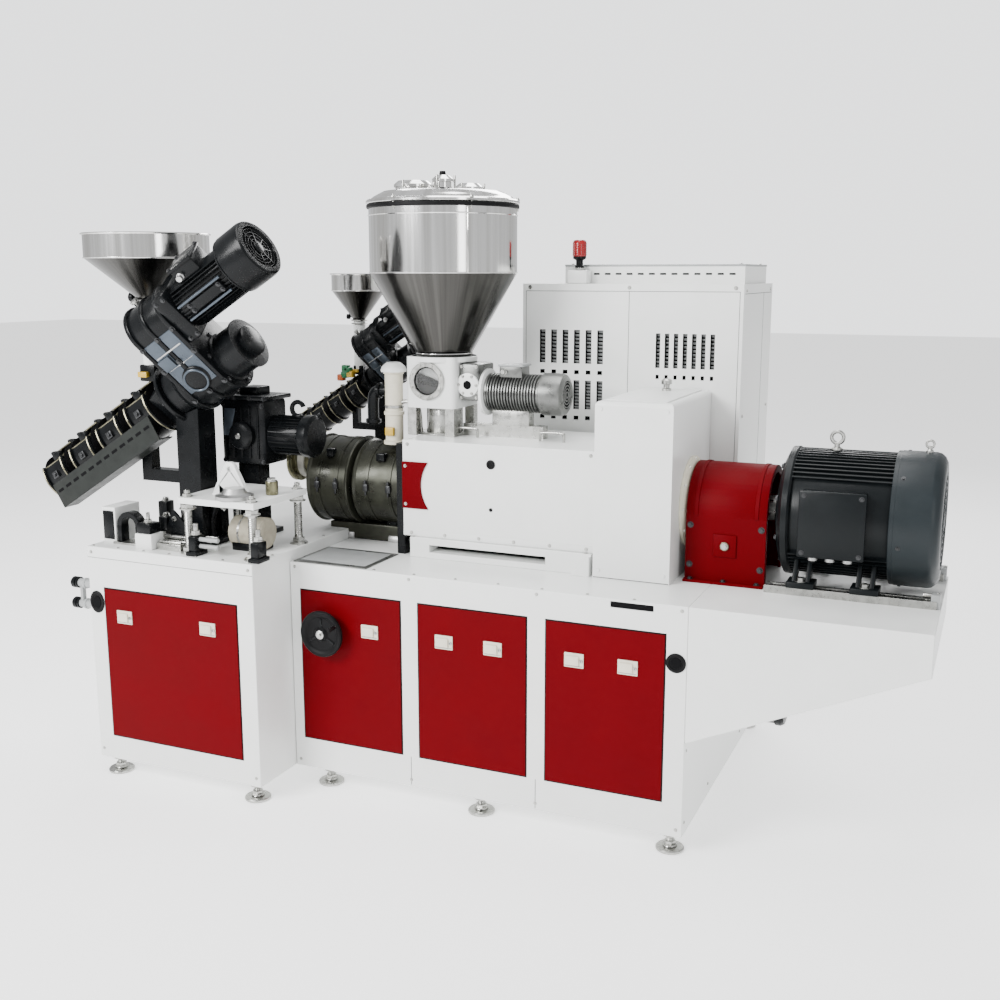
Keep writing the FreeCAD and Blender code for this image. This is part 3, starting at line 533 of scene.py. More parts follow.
    def pipe(self, points: Sequence[Point], radius: float, sides: int = 12, steps: int = 6) -> "Maker":
        """Adds a round bar along a smooth line through points.

        Args:
            points: where the middle of the bar runs.
            radius: radius of the bar.
            sides: number of flats.
            steps: pieces from one point to the next.

        Returns:
            This maker.
        """
        knots = [Vector(p) for p in points]
        knots = [2 * knots[0] - knots[1]] + knots + [2 * knots[-1] - knots[-2]]
        line = []
        for i in range(1, len(knots) - 2):
            a, b, c, d = knots[i - 1:i + 3]
            for k in range(steps):
                t = k / steps
                line.append(0.5 * (2 * b + (c - a) * t + (2 * a - 5 * b + 4 * c - d) * t ** 2
                                   + (3 * b - a - 3 * c + d) * t ** 3))
        line.append(knots[-2])
        part = bmesh.new()
        rings = []
        aside = (line[1] - line[0]).orthogonal().normalized()
        for i, spot in enumerate(line):
            ahead = (line[min(i + 1, len(line) - 1)] - line[max(i - 1, 0)]).normalized()
            aside = (aside - ahead * aside.dot(ahead)).normalized()
            other = ahead.cross(aside)
            rings.append([part.verts.new(spot + radius * (cos(a) * aside + sin(a) * other))
                          for a in (tau * k / sides for k in range(sides))])
        for low, high in zip(rings, rings[1:]):
            for k in range(sides):
                part.faces.new((low[k], low[(k + 1) % sides], high[(k + 1) % sides], high[k]))
        part.faces.new(rings[0][::-1])
        part.faces.new(rings[-1])
        return self.take(part)

    def rim(self, x: Span, z: Span, width: float, y: Span, edge: float = 0.8) -> "Maker":
        """Adds a rectangular strip round an upright panel, outside its spans.

        Args:
            x, z: the panel's spans.
            width: width of the strip.
            y: its span in depth.
            edge: width of the softened edges.

        Returns:
            This maker.
        """
        self.block((x[0] - width, x[1] + width), y, (z[0] - width, z[0]), edge)
        self.block((x[0] - width, x[1] + width), y, (z[1], z[1] + width), edge)
        self.block((x[0] - width, x[0]), y, z, edge)
        return self.block((x[1], x[1] + width), y, z, edge)

    def nut(self, start: Point, along: Point, radius: float, height: float) -> "Maker":
        """Adds a hexagonal nut or bolt head with a washer.

        Args:
            start: middle of the near end.
            along: the axis.
            radius, height: its sizes.

        Returns:
            This maker.
        """
        self.lathe([(radius * 1.25, 0), (radius * 1.25, height * 0.18)], start, along, 20)
        return self.lathe(
            [(radius, height * 0.18), (radius, height * 0.9), (radius * 0.86, height)], start, along, 6)

    def piece(self, name: str, slot: str, stands_for: str = "", body: str = MACHINE) -> None:
        """Makes the object, and hangs it on its body.

        Args:
            name: the piece's name.
            slot: the record's material slot; not used.
            stands_for: the CAD node that it replaces, if any.
            body: the CAD body that it rides on.
        """
        mesh = bpy.data.meshes.new(name)
        self.mesh.to_mesh(mesh)
        self.mesh.free()
        for finish in self.finishes:
            mesh.materials.append(finish.material())
        place_piece(name, mesh, stands_for, body)


def place_piece(name: str, mesh: bpy.types.Mesh, stands_for: str, body: str) -> None:
    """Marks a finished mesh's sharp edges, and links it as a piece of the model.

    Args:
        name: the piece's name.
        mesh: its mesh, in metres in the frame.
        stands_for: the CAD node that it replaces, if any.
        body: the CAD body that it rides on.
    """
    mesh.set_sharp_from_angle(angle=SHARP)
    piece = bpy.data.objects.new(name, mesh)
    show(piece)
    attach(piece, body)
    if stands_for:
        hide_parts(stands_for)
    log.info("%-26s %6d faces on %s", name, len(mesh.polygons), body)


def dress(node: str, finish: Finish, edge: float = 0.0) -> None:
    """Gives a carried-over CAD node its finish, and softens its edges.

    Args:
        node: the CAD node.
        finish: its finish.
        edge: width of the softened edges in millimetres, or 0 to leave them.
    """
    carried = frame["nodes"][node]
    carried.data.materials.clear()
    carried.data.materials.append(finish.material())
    if edge:
        weld = carried.modifiers.new("weld", "WELD")
        weld.merge_threshold = 0.00005
        soften = carried.modifiers.new("soften", "BEVEL")
        soften.width = edge / 1000
        soften.segments = 2
        soften.limit_method = "ANGLE"
        soften.angle_limit = radians(40)
        soften.harden_normals = True


class Repeater:
    """A Geometry Nodes tree with named inputs that ends in Realize Instances and Set Material."""

    KINDS = {float: "NodeSocketFloat", int: "NodeSocketInt", tuple: "NodeSocketVector"}

    def __init__(self, name: str, inputs: dict[str, float | int | tuple]) -> None:
        """Opens the tree.

        Args:
            name: the tree's name.
            inputs: its inputs with their defaults, whose types are the sockets' types.
        """
        self.tree = bpy.data.node_groups.new(name, "GeometryNodeTree")
        face = self.tree.interface
        face.new_socket("Geometry", in_out="INPUT", socket_type="NodeSocketGeometry")
        self.ids = {}
        for label, value in inputs.items():
            socket = face.new_socket(label, in_out="INPUT", socket_type=self.KINDS[type(value)])
            socket.default_value = value
            self.ids[label] = socket.identifier
        socket = face.new_socket("Finish", in_out="INPUT", socket_type="NodeSocketMaterial")
        self.ids["Finish"] = socket.identifier
        face.new_socket("Geometry", in_out="OUTPUT", socket_type="NodeSocketGeometry")
        self.wires = Wiring(self.tree)
        self.given = self.wires.add("NodeGroupInput", {}).outputs

    def close(self, points: bpy.types.NodeSocket, shape: bpy.types.NodeSocket, turn: object) -> None:
        """Puts the shape on each point, and ends the tree.

        Args:
            points: where the copies go.
            shape: what is copied.
            turn: rotation of each copy.
        """
        add = self.wires.add
        copies = add("GeometryNodeInstanceOnPoints", {"Points": points, "Instance": shape, "Rotation": turn})
        real = add("GeometryNodeRealizeInstances", {0: copies.outputs[0]})
        done = add("GeometryNodeSetMaterial", {"Geometry": real.outputs[0], "Material": self.given["Finish"]})
        add("NodeGroupOutput", {0: done.outputs[0]})

    def run(self, name: str, slot: str, finish: Finish, values: dict[str, float | int | tuple],
            place: Matrix, points: bpy.types.Mesh | None = None) -> None:
        """Evaluates the tree once, and keeps the result as a plain mesh on the machine's body.

        Args:
            name: the piece's name.
            slot: the record's material slot; not used.
            finish: the finish of every copy.
            values: the tree's inputs, in millimetres.
            place: where the result goes.
            points: the mesh that carries the copies, if the tree reads one.
        """
        carrier = bpy.data.objects.new(name + "_carrier", points or bpy.data.meshes.new(name + "_seed"))
        show(carrier)
        modifier = carrier.modifiers.new("repeat", "NODES")
        modifier.node_group = self.tree
        for label, value in values.items():
            modifier[self.ids[label]] = value
        modifier[self.ids["Finish"]] = finish.material()
        graph = bpy.context.evaluated_depsgraph_get()
        mesh = bpy.data.meshes.new_from_object(carrier.evaluated_get(graph), depsgraph=graph)
        carrier.modifiers.clear()
        bpy.data.objects.remove(carrier)
        mesh.name = name
        mesh.transform(place)
        if not mesh.materials:
            mesh.materials.append(finish.material())
        mesh.shade_smooth()
        place_piece(name, mesh, "", MACHINE)


def screw_tree() -> Repeater:
    """Returns the tree that sets a washer and a head on every point, turned to the point's "facing"."""
    made = Repeater("screw_heads", {"Radius": 5.0, "Height": 4.0, "Flats": 6, "Washer": 8.0})
    add, given, maths = made.wires.add, made.given, made.wires.maths
    crown = maths("MULTIPLY", given["Radius"], 0.86)
    rest = maths("MULTIPLY", given["Height"], 0.2)
    head = add(
        "GeometryNodeMeshCone", {"Vertices": given["Flats"], "Radius Top": crown,
        "Radius Bottom": given["Radius"], "Depth": given["Height"]})
    disc = add(
        "GeometryNodeMeshCone", {"Vertices": 16, "Radius Top": given["Washer"],
        "Radius Bottom": given["Washer"], "Depth": rest})
    both = add("GeometryNodeJoinGeometry", {0: head.outputs[0]})
    made.tree.links.new(disc.outputs[0], both.inputs[0])
    facing = add("GeometryNodeInputNamedAttribute", {"Name": "facing"}, data_type="FLOAT_VECTOR").outputs[0]
    turn = add("FunctionNodeAlignRotationToVector", {"Vector": facing}, axis="Z").outputs[0]
    made.close(given["Geometry"], both.outputs[0], turn)
    return made


def fin_tree() -> Repeater:
    """Returns the tree that sets bars along the X axis, side by side round an arc."""
    made = Repeater(
        "cooling_fins", {"Count": 8, "Radius": 100.0, "Start": 0.0, "Step": 0.1, "Length": 200.0,
        "Thickness": 3.0, "Height": 12.0})
    add, given, maths = made.wires.add, made.given, made.wires.maths
    index = add("GeometryNodeInputIndex", {}).outputs[0]
    angle = maths("ADD", given["Start"], maths("MULTIPLY", index, given["Step"]))
    spot = add(
        "ShaderNodeCombineXYZ", {1: maths("MULTIPLY", given["Radius"], maths("COSINE", angle)),
        2: maths("MULTIPLY", given["Radius"], maths("SINE", angle))}).outputs[0]
    size = add(
        "ShaderNodeCombineXYZ", {0: given["Length"], 1: given["Height"], 2: given["Thickness"]}).outputs[0]
    points = add("GeometryNodePoints", {"Count": given["Count"], "Position": spot}).outputs[0]
    bar = add("GeometryNodeMeshCube", {"Size": size}).outputs[0]
    turn = add("ShaderNodeCombineXYZ", {0: angle}).outputs[0]
    made.close(points, bar, turn)
    return made


def row_tree() -> Repeater:
    """Returns the tree that sets equal bars at even steps along a line."""
    made = Repeater(
        "row_of_bars", {"Count": 6, "Step": (40.0, 0.0, 0.0), "Size": (4.0, 4.0, 40.0),
        "Tilt": (0.0, 0.0, 0.0)})
    add, given = made.wires.add, made.given
    index = add("GeometryNodeInputIndex", {}).outputs[0]
    spot = add("ShaderNodeVectorMath", {0: given["Step"], "Scale": index}, operation="SCALE").outputs[0]
    points = add("GeometryNodePoints", {"Count": given["Count"], "Position": spot}).outputs[0]
    bar = add("GeometryNodeMeshCube", {"Size": given["Size"]}).outputs[0]
    made.close(points, bar, given["Tilt"])
    return made


def heap_tree() -> Repeater:
    """Returns the tree that scatters turned granules on a given mesh."""
    made = Repeater("granule_heap", {"Size": 3.0, "Density": 0.03, "Seed": 7})
    add, given = made.wires.add, made.given
    spread = add(
        "GeometryNodeDistributePointsOnFaces", {"Mesh": given["Geometry"], "Density": given["Density"],
        "Seed": given["Seed"]}).outputs[0]
    grain = add("GeometryNodeMeshCylinder", {"Vertices": 8, "Radius": given["Size"], "Depth": given["Size"]})
    turn = add("FunctionNodeRandomValue", {"Max": (3.1, 3.1, 3.1), "Seed": given["Seed"]},
               data_type="FLOAT_VECTOR").outputs[0]
    made.close(spread, grain.outputs[0], turn)
    return made


SCREWS, FINS, BARS, HEAP = screw_tree(), fin_tree(), row_tree(), heap_tree()


def screws(name: str, slot: str, finish: Finish, spots: Sequence[tuple[Point, Point]], radius: float,
           height: float, place: Matrix | None = None, flats: int = 6, washer: float = 1.35) -> None:
    """Sets screw heads or nuts.

    Args:
        name: the piece's name.
        slot: the record's material slot.
        finish: their finish.
        spots: where each stands, and which way it faces.
        radius, height: size of a head.
        place: the unit's own frame in the drawing.
        flats: 6 for a hexagon, more for a round head.
        washer: washer radius over head radius.
    """
    mesh = bpy.data.meshes.new(name + "_points")
    mesh.from_pydata([tuple(spot) for spot, _ in spots], [], [])
    facing = mesh.attributes.new("facing", "FLOAT_VECTOR", "POINT")
    for item, (_, way) in zip(facing.data, spots):
        item.vector = way
    SCREWS.run(
        name, slot, finish, {"Radius": radius, "Height": height, "Flats": flats, "Washer": radius * washer},
        DRAWING @ (place or Matrix.Identity(4)), mesh)


def circle_spots(centre: Point, along: Point, radius: float, count: int,
                 first: float = 0.0) -> list[tuple[Point, Point]]:
    """Returns evenly spaced screw spots round a circle.

    Args:
        centre: middle of the circle.
        along: the way the screws face.
        radius: the bolt circle's radius.
        count: number of screws.
        first: angle of the first one, in degrees.
    """
    basis = Vector(along).to_track_quat("Z", "Y").to_matrix()
    return [
        (Vector(centre) + basis @ Vector((*spot, 0)), along)
        for spot in around(count, radius, radians(first))]


def gasket(mesh: Maker, x: Span, z: Span, front: float, back: float) -> None:
    """Adds the thin gasket round a front panel, and round the rear panel behind it.

    Args:
        mesh: the mesh that it joins.
        x, z: the panel's spans.
        front, back: Y of the two faces that carry the panels.
    """
    inset, width = 2, 4
    x, z = ((low + inset, high - inset) for low, high in (x, z))
    mesh.rim(x, z, width, (front - 1.2, front + 6))
    mesh.rim(x, z, width, (back - 6, back + 1.2))


PANELS = [(-1262.0, -902.0), (-842.0, -482.0), (-422.0, -62.0)]     # spans of the base's panels


@dataclass
class Latches:
    """Paired paddle latches of a lift-off panel."""

    width: float = 60.0
    height: float = 44.0
    thick: float = 10.0

    def add(self, mesh: Maker, x: float, z: float, face: float, side: int = -1) -> None:
        """Adds one latch.

        Args:
            mesh: the mesh that it joins.
            x, z: its centre.
            face: Y of the panel's outer face.
            side: -1 on the operator's side, 1 at the back.
        """
        w, h = self.width / 2, self.height / 2
        mesh.use(CREAM).block(about(x, w), (face - side, face + side * 4), about(z, h), 2.5)
        mesh.block((x - w * 0.80, x + w * 0.55), (face + side * 3, face + side * self.thick),
                    (z - h * 0.66, z + h * 0.66), 3.5)
        mesh.use(GREY).block(
            (x - w * 0.92, x + w * 0.9), (face + side * 3, face + side * 4.6),
            (z - h * 0.82, z - h * 0.70), 0.5)
        mesh.use(STEEL).rod((x + w * 0.76, face + side * 3, z), (0, side, 0), 5.5, 3.4, 0.8, 20)
        # painted shade inside the key slot
        mesh.use(SHADOW).block(about(x + w * 0.76, 0.9), (face + side * 6, face + side * 6.7), about(z, 3), 0)


@dataclass
class Base:
    """Main base: frame, three red panels on each side, latches, feet, grommet and deck hardware."""

    length: float = 1300.0
    front: float = BASE_FRONT
    back: float = 700.0
    deck: float = DECK
    low: float = 164.0
    high: float = 664.0
    proud: float = 3.0
    latch_z: float = 553.0
    latches: Latches = field(default_factory=Latches)

    def dress_frame(self) -> None:
        """Finishes the carried-over frame and panels."""
        dress("base_frame", WHITE, 3.0)
        for k in (1, 2, 3):
            dress(f"base_door_{k}", RED, 1.6)
        dress("base_rear_doors", RED, 1.6)

    def build_gaskets(self) -> None:
        """Makes the thin dark gasket round every panel."""
        mesh = Maker(RUBBER)
        for span in PANELS:
            gasket(mesh, span, (self.low, self.high), self.front, self.back)
        mesh.piece("base_panel_gaskets", "red_enamel")

    def build_latches(self) -> None:
        """Makes every latch of the base and of the die cabinet."""
        mesh = Maker(CREAM)
        for number, (left, right) in enumerate(PANELS):
            for share in (0.25, 0.70):
                x = left + share * (right - left)
                if number or share > 0.5:
                    self.latches.add(mesh, x, self.latch_z, self.front - self.proud)
                self.latches.add(mesh, x, self.latch_z, self.back + self.proud, 1)
        for x in (DieCabinet.left + 0.222 * DieCabinet.width, DieCabinet.left + 0.73 * DieCabinet.width):
            self.latches.add(mesh, x, self.latch_z + 8, DieCabinet.front - self.proud)
            self.latches.add(mesh, x, self.latch_z + 8, DieCabinet.back + self.proud, 1)
        mesh.piece("panel_latches", "latch_metal", "door_latches")

    def build_feet(self) -> None:
        """Makes the levelling feet: pad, threaded stud, lock nut and mounting plate."""
        inset = 45.0
        places = [(x, y) for x in (-self.length + inset + 60, -self.length / 2, -inset)
                  for y in (self.front + inset, self.back - inset)]
        places += [(x, y) for x in (DieCabinet.left + inset, DieCabinet.right - inset)
                   for y in (DieCabinet.front + inset, DieCabinet.back - inset)]
        mesh = Maker(STEEL)
        thread = [(r, h + 5 * k) for k in range(9) for r, h in ((10.4, 15), (11.6, 17.5))]
        for x, y in places:
            mesh.use(STEEL).lathe(
                [(41, 0), (42, 1.5), (42, 7), (39, 10), (20, 13), (18, 16)], (x, y, 0), UP, 36)
            mesh.lathe([(0, 14)] + thread + [(0, 60)], (x, y, 0), UP, 20)
            mesh.nut((x, y, 17), UP, 18, 12)
            mesh.nut((x, y, 46), UP, 19, 13)
            mesh.use(WHITE).block(about(x, 36), about(y, 36), (57.5, 61), 1.0)
        mesh.piece("levelling_feet_threaded", "foot_steel", "levelling_feet")

    def build_details(self) -> None:
        """Makes the grommet, deck plate, painted shadow in the deck slot, seams and screws."""
        mesh = Maker(RUBBER)
        for x, z, front in ((-31.0, 584.0, self.front), (-1915.0, 600.0, DieCabinet.front)):
            tall = 1.0 if x > -500 else 1.3
            mesh.use(RUBBER).lathe(
                [(29, -2), (29, 2.5), (26, 5), (21, 5), (18, 1.5)], (x, front, z), FRONT, 40,
                squash=tall * 0.98)
            # painted shade inside the grommet's hole
            mesh.use(SHADOW).lathe([(16, 1), (15, 3.2)], (x, front, z), FRONT, 32, squash=tall)
        # painted shadow in the slot under the deck's edge
        mesh.use(SHADOW).block((-226, -100), (self.front + 2, self.front + 15), (724.5, 741.5), 0)
        mesh.use(WEATHERED).block(
            (-1292, -1026), (self.front + 8, self.front + 222), (self.deck, self.deck + 3), 1)
        mesh.use(GREY).block(
            (-1276, -1040), (self.front + 30, self.front + 200), (self.deck + 3, self.deck + 5), 1)
        mesh.use(RUBBER)
        for x in (-872.0, -452.0):
            mesh.block(about(x, 0.8), (self.front - 0.5, self.front + 1), (self.low - 96, self.low - 3), 0)
        mesh.piece("base_fittings", "white_enamel")
        spots = [((x, self.front + 14, self.deck), UP) for x in range(-1280, -20, 140)]
        spots += [((x, self.front, self.deck - 14), FRONT) for x in (-1282, -872, -452, -18)]
        spots += [((x, self.front, 84), FRONT) for x in (-1282, -872, -452, -18)]
        spots += [
            ((0, y, z), RIGHT) for y in (self.front + 24, -120, 340, self.back - 24) for z in (100, 320)]
        screws("base_screws", "foot_steel", STEEL, spots, 4.2, 2.6, flats=12, washer=1.3)

    def build(self) -> None:
        """Builds and dresses the whole base."""
        self.dress_frame()
        self.build_gaskets()
        self.build_latches()
        self.build_feet()
        self.build_details()


@dataclass
class Handwheel:
    """Dished black wheel with a silver hub, on a bearing boss on the first panel."""

    x: float = -1165.0
    z: float = 537.0
    face: float = BASE_FRONT - 3.0

    def build(self) -> None:
        """Builds the fixed boss, and the wheel that turns."""
        x, z = self.x, self.z
        fixed = Maker(STEEL)
        fixed.lathe([(30, 0), (30, 4), (26, 8), (20, 12)], (x, self.face, z), FRONT, 40)
        fixed.piece("wheel_boss_turned", "post_silver", "handwheel_boss")
        rim_y = self.face - 35
        disc = Maker(RUBBER)
        disc.lathe(
            [(16, -18), (17, -16), (17, -4), (54, -4), (58, -7), (64, -9), (70, -9), (74, -5), (75, 0),
            (74, 5), (70, 9), (64, 9), (59, 7), (54, 2), (24, 3), (20, 9), (17, 12)], (x, rim_y, z),
            FRONT, 56)
        for dx, dz in around(14, 71):
            disc.torus((x + dx, rim_y, z + dz), FRONT, 2.2, 2.4, 12, rounds=6)
        disc.use(BLACK)
        for k in range(3):
            a = radians(90 + 120 * k)
            c, s = cos(a), sin(a)
            disc.block(
                (22, 52), (-4, 4), (0, 3.2), 1.2, Matrix.Translation((x, rim_y - 2.2, z))
                @ Matrix(((c, 0, -s, 0), (0, 1, 0, 0), (s, 0, c, 0), (0, 0, 0, 1)))
                @ Matrix.Rotation(radians(90), 4, "X"))
        disc.use(SILVER).lathe([(14, 9), (14, 12), (11, 14)], (x, rim_y, z), FRONT, 28)
        disc.use(STEEL).nut((x, rim_y - 13.5, z), FRONT, 7, 6)
        grip = (x + 66 * cos(radians(30)), rim_y - 6, z + 66 * sin(radians(30)))
        disc.rod(grip, FRONT, 3.5, 14, 0.8, 16)
        disc.use(RUBBER).lathe(
            [(5.5, 10), (7, 14), (6.2, 28), (7.6, 40), (5, 45.5), (0, 46)], grip, FRONT, 20)
        disc.piece("handwheel_dished", "wheel_black", "handwheel", WHEEL)


@dataclass
class MotorPlatform:
    """Cantilever with its slide rails, and the small pump motor under it."""

    reach: float = 640.0
    tip: float = 118.0
    root: float = 400.0

    def build(self) -> None:
        """Dresses the cantilever and rails, and builds the pump motor."""
        dress("motor_platform", WHITE, 3.0)
        dress("motor_rails", STEEL, 1.0)
        mesh = Maker(STEEL)
        for y in (-165.0, 165.0):
            mesh.use(STEEL)
            for x in (176.0, 604.0):
                mesh.nut((x, y, 760), UP, 9, 9)
            mesh.use(GREY).block((612, 636), about(y, 20), (DECK, 790), 2)
            mesh.use(STEEL).rod((590, y, 784), RIGHT, 6, 46, 1, 16)
            mesh.nut((628, y, 784), RIGHT, 10, 8)
        mesh.use(RUBBER).block((0.2, 1.2), (BASE_FRONT + 1, 214), (352, 353.4), 0)
        mesh.piece("platform_hardware", "rail_steel")
        self.build_pump()

    def build_pump(self) -> None:
        """Builds the finned pump motor, its hangers, pump head and terminal box."""
        x0, x1, y, z, r = 52.0, 236.0, -150.0, 392.0, 46.0
        mesh = Maker(SILVER)
        mesh.rod((x0 + 26, y, z), RIGHT, r - 7, x1 - x0 - 52, 1, 40)
        for start, way in ((x0 + 30, LEFT), (x1 - 30, RIGHT)):
            mesh.use(BLACK).lathe([(52, 0), (53, 3), (53, 16), (47, 26), (30, 30)], (start, y, z), way, 40)
        mesh.use(STEEL).lathe(
            [(26, 0), (26, 12), (18, 14), (18, 24), (22, 24), (22, 30)], (x0, y, z), LEFT, 28)
        slope = (self.root - self.tip) / self.reach
        for x in (x0 + 12, x1 - 14):
            top = max(DECK - self.root + slope * x, z + 48)
            mesh.use(STEEL).rod((x, y, z + 30), UP, 8, top - z - 28, 1, 20)
            mesh.nut((x, y, z + 52), UP, 13, 10)
            mesh.lathe([(20, 0), (20, 4)], (x, y, top - 4), UP, 24)
        mesh.use(BLACK).block((118, 178), (y - 66, y - 38), about(z, 24), 3)
        mesh.use(STEEL).rod((182, y - 54, z), RIGHT, 7, 12, 1, 16)
        mesh.piece("pump_motor_finned", "pump_silver", "pump_motor")
        FINS.run("pump_motor_fins", "pump_silver", SILVER,
                 {"Count": 26, "Radius": r - 4.0, "Start": 0.0, "Step": tau / 26, "Length": x1 - x0 - 62,
                  "Thickness": 2.4, "Height": 12.0}, placed(((x0 + x1) / 2, y, z)))


@dataclass
class MainMotor:
    """Foot-mounted drive motor with cooling ribs, fan cowl, lifting eyes and a flat terminal box."""

    left: float = 165.0
    right: float = 625.0
    radius: float = 188.0
    shaft: float = SHAFT
    rail_top: float = 772.0

    def build(self) -> None:
        """Builds the motor in three pieces, and its ribs and screws."""
        self.build_frame()
        self.build_box()
        self.build_cowl()

    def build_frame(self) -> None:
        """Builds the finned frame with end bell, feet and eyes."""
        x0, x1 = self.left + 34, self.right - 128
        mesh = Maker(MOTOR_DARK)
        mesh.rod((x0, 0, self.shaft), RIGHT, self.radius - 11, x1 - x0, 2, 72)
        mesh.lathe(
            [(96, 0), (98, 6), (110, 6), (150, 12), (178, 24), (190, 30), (191, 46), (186, 52)],
            (self.left, 0, self.shaft), RIGHT, 72)
        for x in (x0 + 26, x1 - 96):
            for side in (-1, 1):
                y = side * 165.0
                mesh.block((x - 4, x + 74), about(y, 36), (self.rail_top, self.rail_top + 18), 3)
                web = [
                    (y - 20, self.rail_top + 16), (y + 22, self.rail_top + 16),
                    (y * 0.44 + 30, self.shaft - 60), (y * 0.44 - 30, self.shaft - 60)]
                mesh.prism(web, "yz", x + 10, x + 22, 1.5)
                mesh.prism(web, "yz", x + 48, x + 60, 1.5)
        mesh.use(STEEL)
        eye_x = (x0 + x1) / 2 - 30
        for x in (eye_x, self.right - 52):
            small = 1.0 if x == eye_x else 0.62
            top = self.shaft + self.radius
            mesh.lathe([(17 * small, 0), (17 * small, 6), (8 * small, 12), (8 * small, 20)],
                        (x, 0, top - 4 if small == 1.0 else top + 5), UP, 24)
            mesh.torus(
                (x, 0, top + 35 * small + (0 if small == 1.0 else 8)), FRONT, 17 * small, 5.5 * small, 32)
        mesh.piece("main_motor_frame", "motor_paint", "main_motor")
        length = x1 - x0 - 16
        for name, count, start, step in (
                ("top", 21, 0.72, 0.085), ("back", 12, -0.52, 0.09), ("front_low", 7, pi + 0.56, 0.085)):
            FINS.run(
                f"motor_ribs_{name}", "motor_paint", MOTOR_DARK,
                {"Count": count, "Radius": self.radius - 7.0, "Start": start, "Step": step, "Length": length,
                "Thickness": 4.2, "Height": 13.0}, placed(((x0 + x1) / 2 + 4, 0, self.shaft)))
        spots = [
            ((x + 35, side * 178, self.rail_top + 18), UP) for x in (x0 + 26, x1 - 96) for side in (-1, 1)]
        screws("motor_foot_bolts", "shaft_steel", STEEL, spots, 13, 11)
        spots = circle_spots((self.left + 14, 0, self.shaft), LEFT, 150, 8, 22)
        screws("motor_bell_bolts", "motor_paint", BOLT_BLACK, spots, 8, 7)

    def build_box(self) -> None:
        """Builds the terminal box on the operator's side, with its lid and glands."""
        x = (self.left + 86, self.right - 198)
        z = about(self.shaft, 92)
        front = -self.radius * 0.97 - 22
        mesh = Maker(MOTOR_DARK)
        mesh.block(x, (front + 12, -self.radius * 0.55), z, 5)
        mesh.block((x[0] - 4, x[1] + 4), (front, front + 11), (z[0] - 4, z[1] + 4), 5)
        mesh.use(RUBBER).block((x[0] - 2, x[1] + 2), (front + 10.5, front + 12.5), (z[0] - 2, z[1] + 2), 0.5)
        for offset in (36, 84, 132):
            mesh.use(SILVER).lathe(
                [(17, 0), (17, 6), (14, 8), (14, 18), (9, 20)], (x[0] + offset, front + 42, z[0]), DOWN, 24)
            mesh.use(RUBBER).rod((x[0] + offset, front + 42, z[0] - 26), UP, 8, 10, 1, 18)
        mesh.piece("motor_terminal_case", "motor_paint", "motor_terminal_box")
        spots = [((a, front, b), FRONT) for a in (x[0] + 10, x[1] - 10) for b in (z[0] + 10, z[1] - 10)]
        screws("motor_terminal_screws", "motor_paint", BOLT_BLACK, spots, 5.5, 4)

    def build_cowl(self) -> None:
        """Builds the fan cowl with its rounded shoulder and ringed air intake."""
        x, r = self.right - 128, self.radius + 7
        mesh = Maker(MOTOR_BLUE)
        mesh.lathe([(r - 3, 2), (r, 5), (r, 96), (r - 3, 108), (r - 12, 119), (r - 26, 126), (150, 127.5),
                     (142, 127.5), (138, 122)], (x, 0, self.shaft), RIGHT, 72)
        # painted shade inside the fan cowl's air intake
        mesh.use(SHADOW).lathe([(137, 121), (137, 123)], (x, 0, self.shaft), RIGHT, 48)
        mesh.use(MOTOR_BLUE)
        for k in range(7):
            mesh.torus((x + 125.5, 0, self.shaft), RIGHT, 26 + 18 * k, 2.2, 56, rounds=6)
        mesh.lathe([(24, 122), (24, 126), (20, 128)], (x, 0, self.shaft), RIGHT, 28)
        mesh.ring((x - 8, 0, self.shaft), RIGHT, r - 1, r - 12, 14, 1.5, 72)
        mesh.piece("motor_fan_cowl_spun", "motor_paint", "motor_fan_cowl")
        for k in range(3):
            BARS.run(f"cowl_guard_bars_{k + 1}", "motor_paint", MOTOR_BLUE,
                     {"Count": 2, "Step": (0.0, 0.0, 157.0), "Size": (3.0, 4.5, 119.0)},
                     placed((x + 125, 0, self.shaft))
                     @ Matrix.Rotation(radians(60 * k), 4, "X") @ Matrix.Translation((0, 0, -78.5)))
        spots = circle_spots((x + 20, 0, self.shaft), RIGHT, r - 0.5, 6, 15)
        spots = [(spot, (Vector(spot) - Vector((x + 20, 0, self.shaft))).normalized()) for spot, _ in spots]
        screws("cowl_screws", "motor_paint", BOLT_BLACK, spots, 5, 3.4, flats=12)


@dataclass
class CouplingGuard:
    """Red sheet guard over the coupling."""

    left: float = -88.0
    right: float = 150.0
    half: float = 142.0
    crown: float = 950.0

    def build(self) -> None:
        """Dresses the guard, and adds its band, inspection boss and bolts."""
        left, right, half = self.left, self.right, self.half
        dress("coupling_guard", RED, 1.2)
        dress("shaft_coupling", STEEL)
        middle = (left + right) / 2
        mesh = Maker(RED)
        for x in (left + 24, right - 36):
            mesh.ring((x, 0, self.crown), RIGHT, half + 2.5, half - 1, 12, 0.8, 48, 180, 0)
        mesh.block(about(middle, 34), (-half - 5, -half + 1), (830, 898), 2)
        mesh.use(BRONZE).rod((middle, -half - 4, 864), FRONT, 13, 7, 1.5, 28)
        mesh.use(STEEL).nut((middle, -half - 10, 864), FRONT, 8, 7)
        mesh.piece("guard_bands", "red_enamel")
        spots = [
            ((x, side * (half + 13), 758), UP) for x in (left + 20, middle, right - 20) for side in (-1, 1)]
        spots += [((x, -half, z), FRONT) for x in (left + 14, right - 14) for z in (800, 920)]
        screws("guard_bolts", "shaft_steel", BOLT_BLACK, spots, 7, 6)


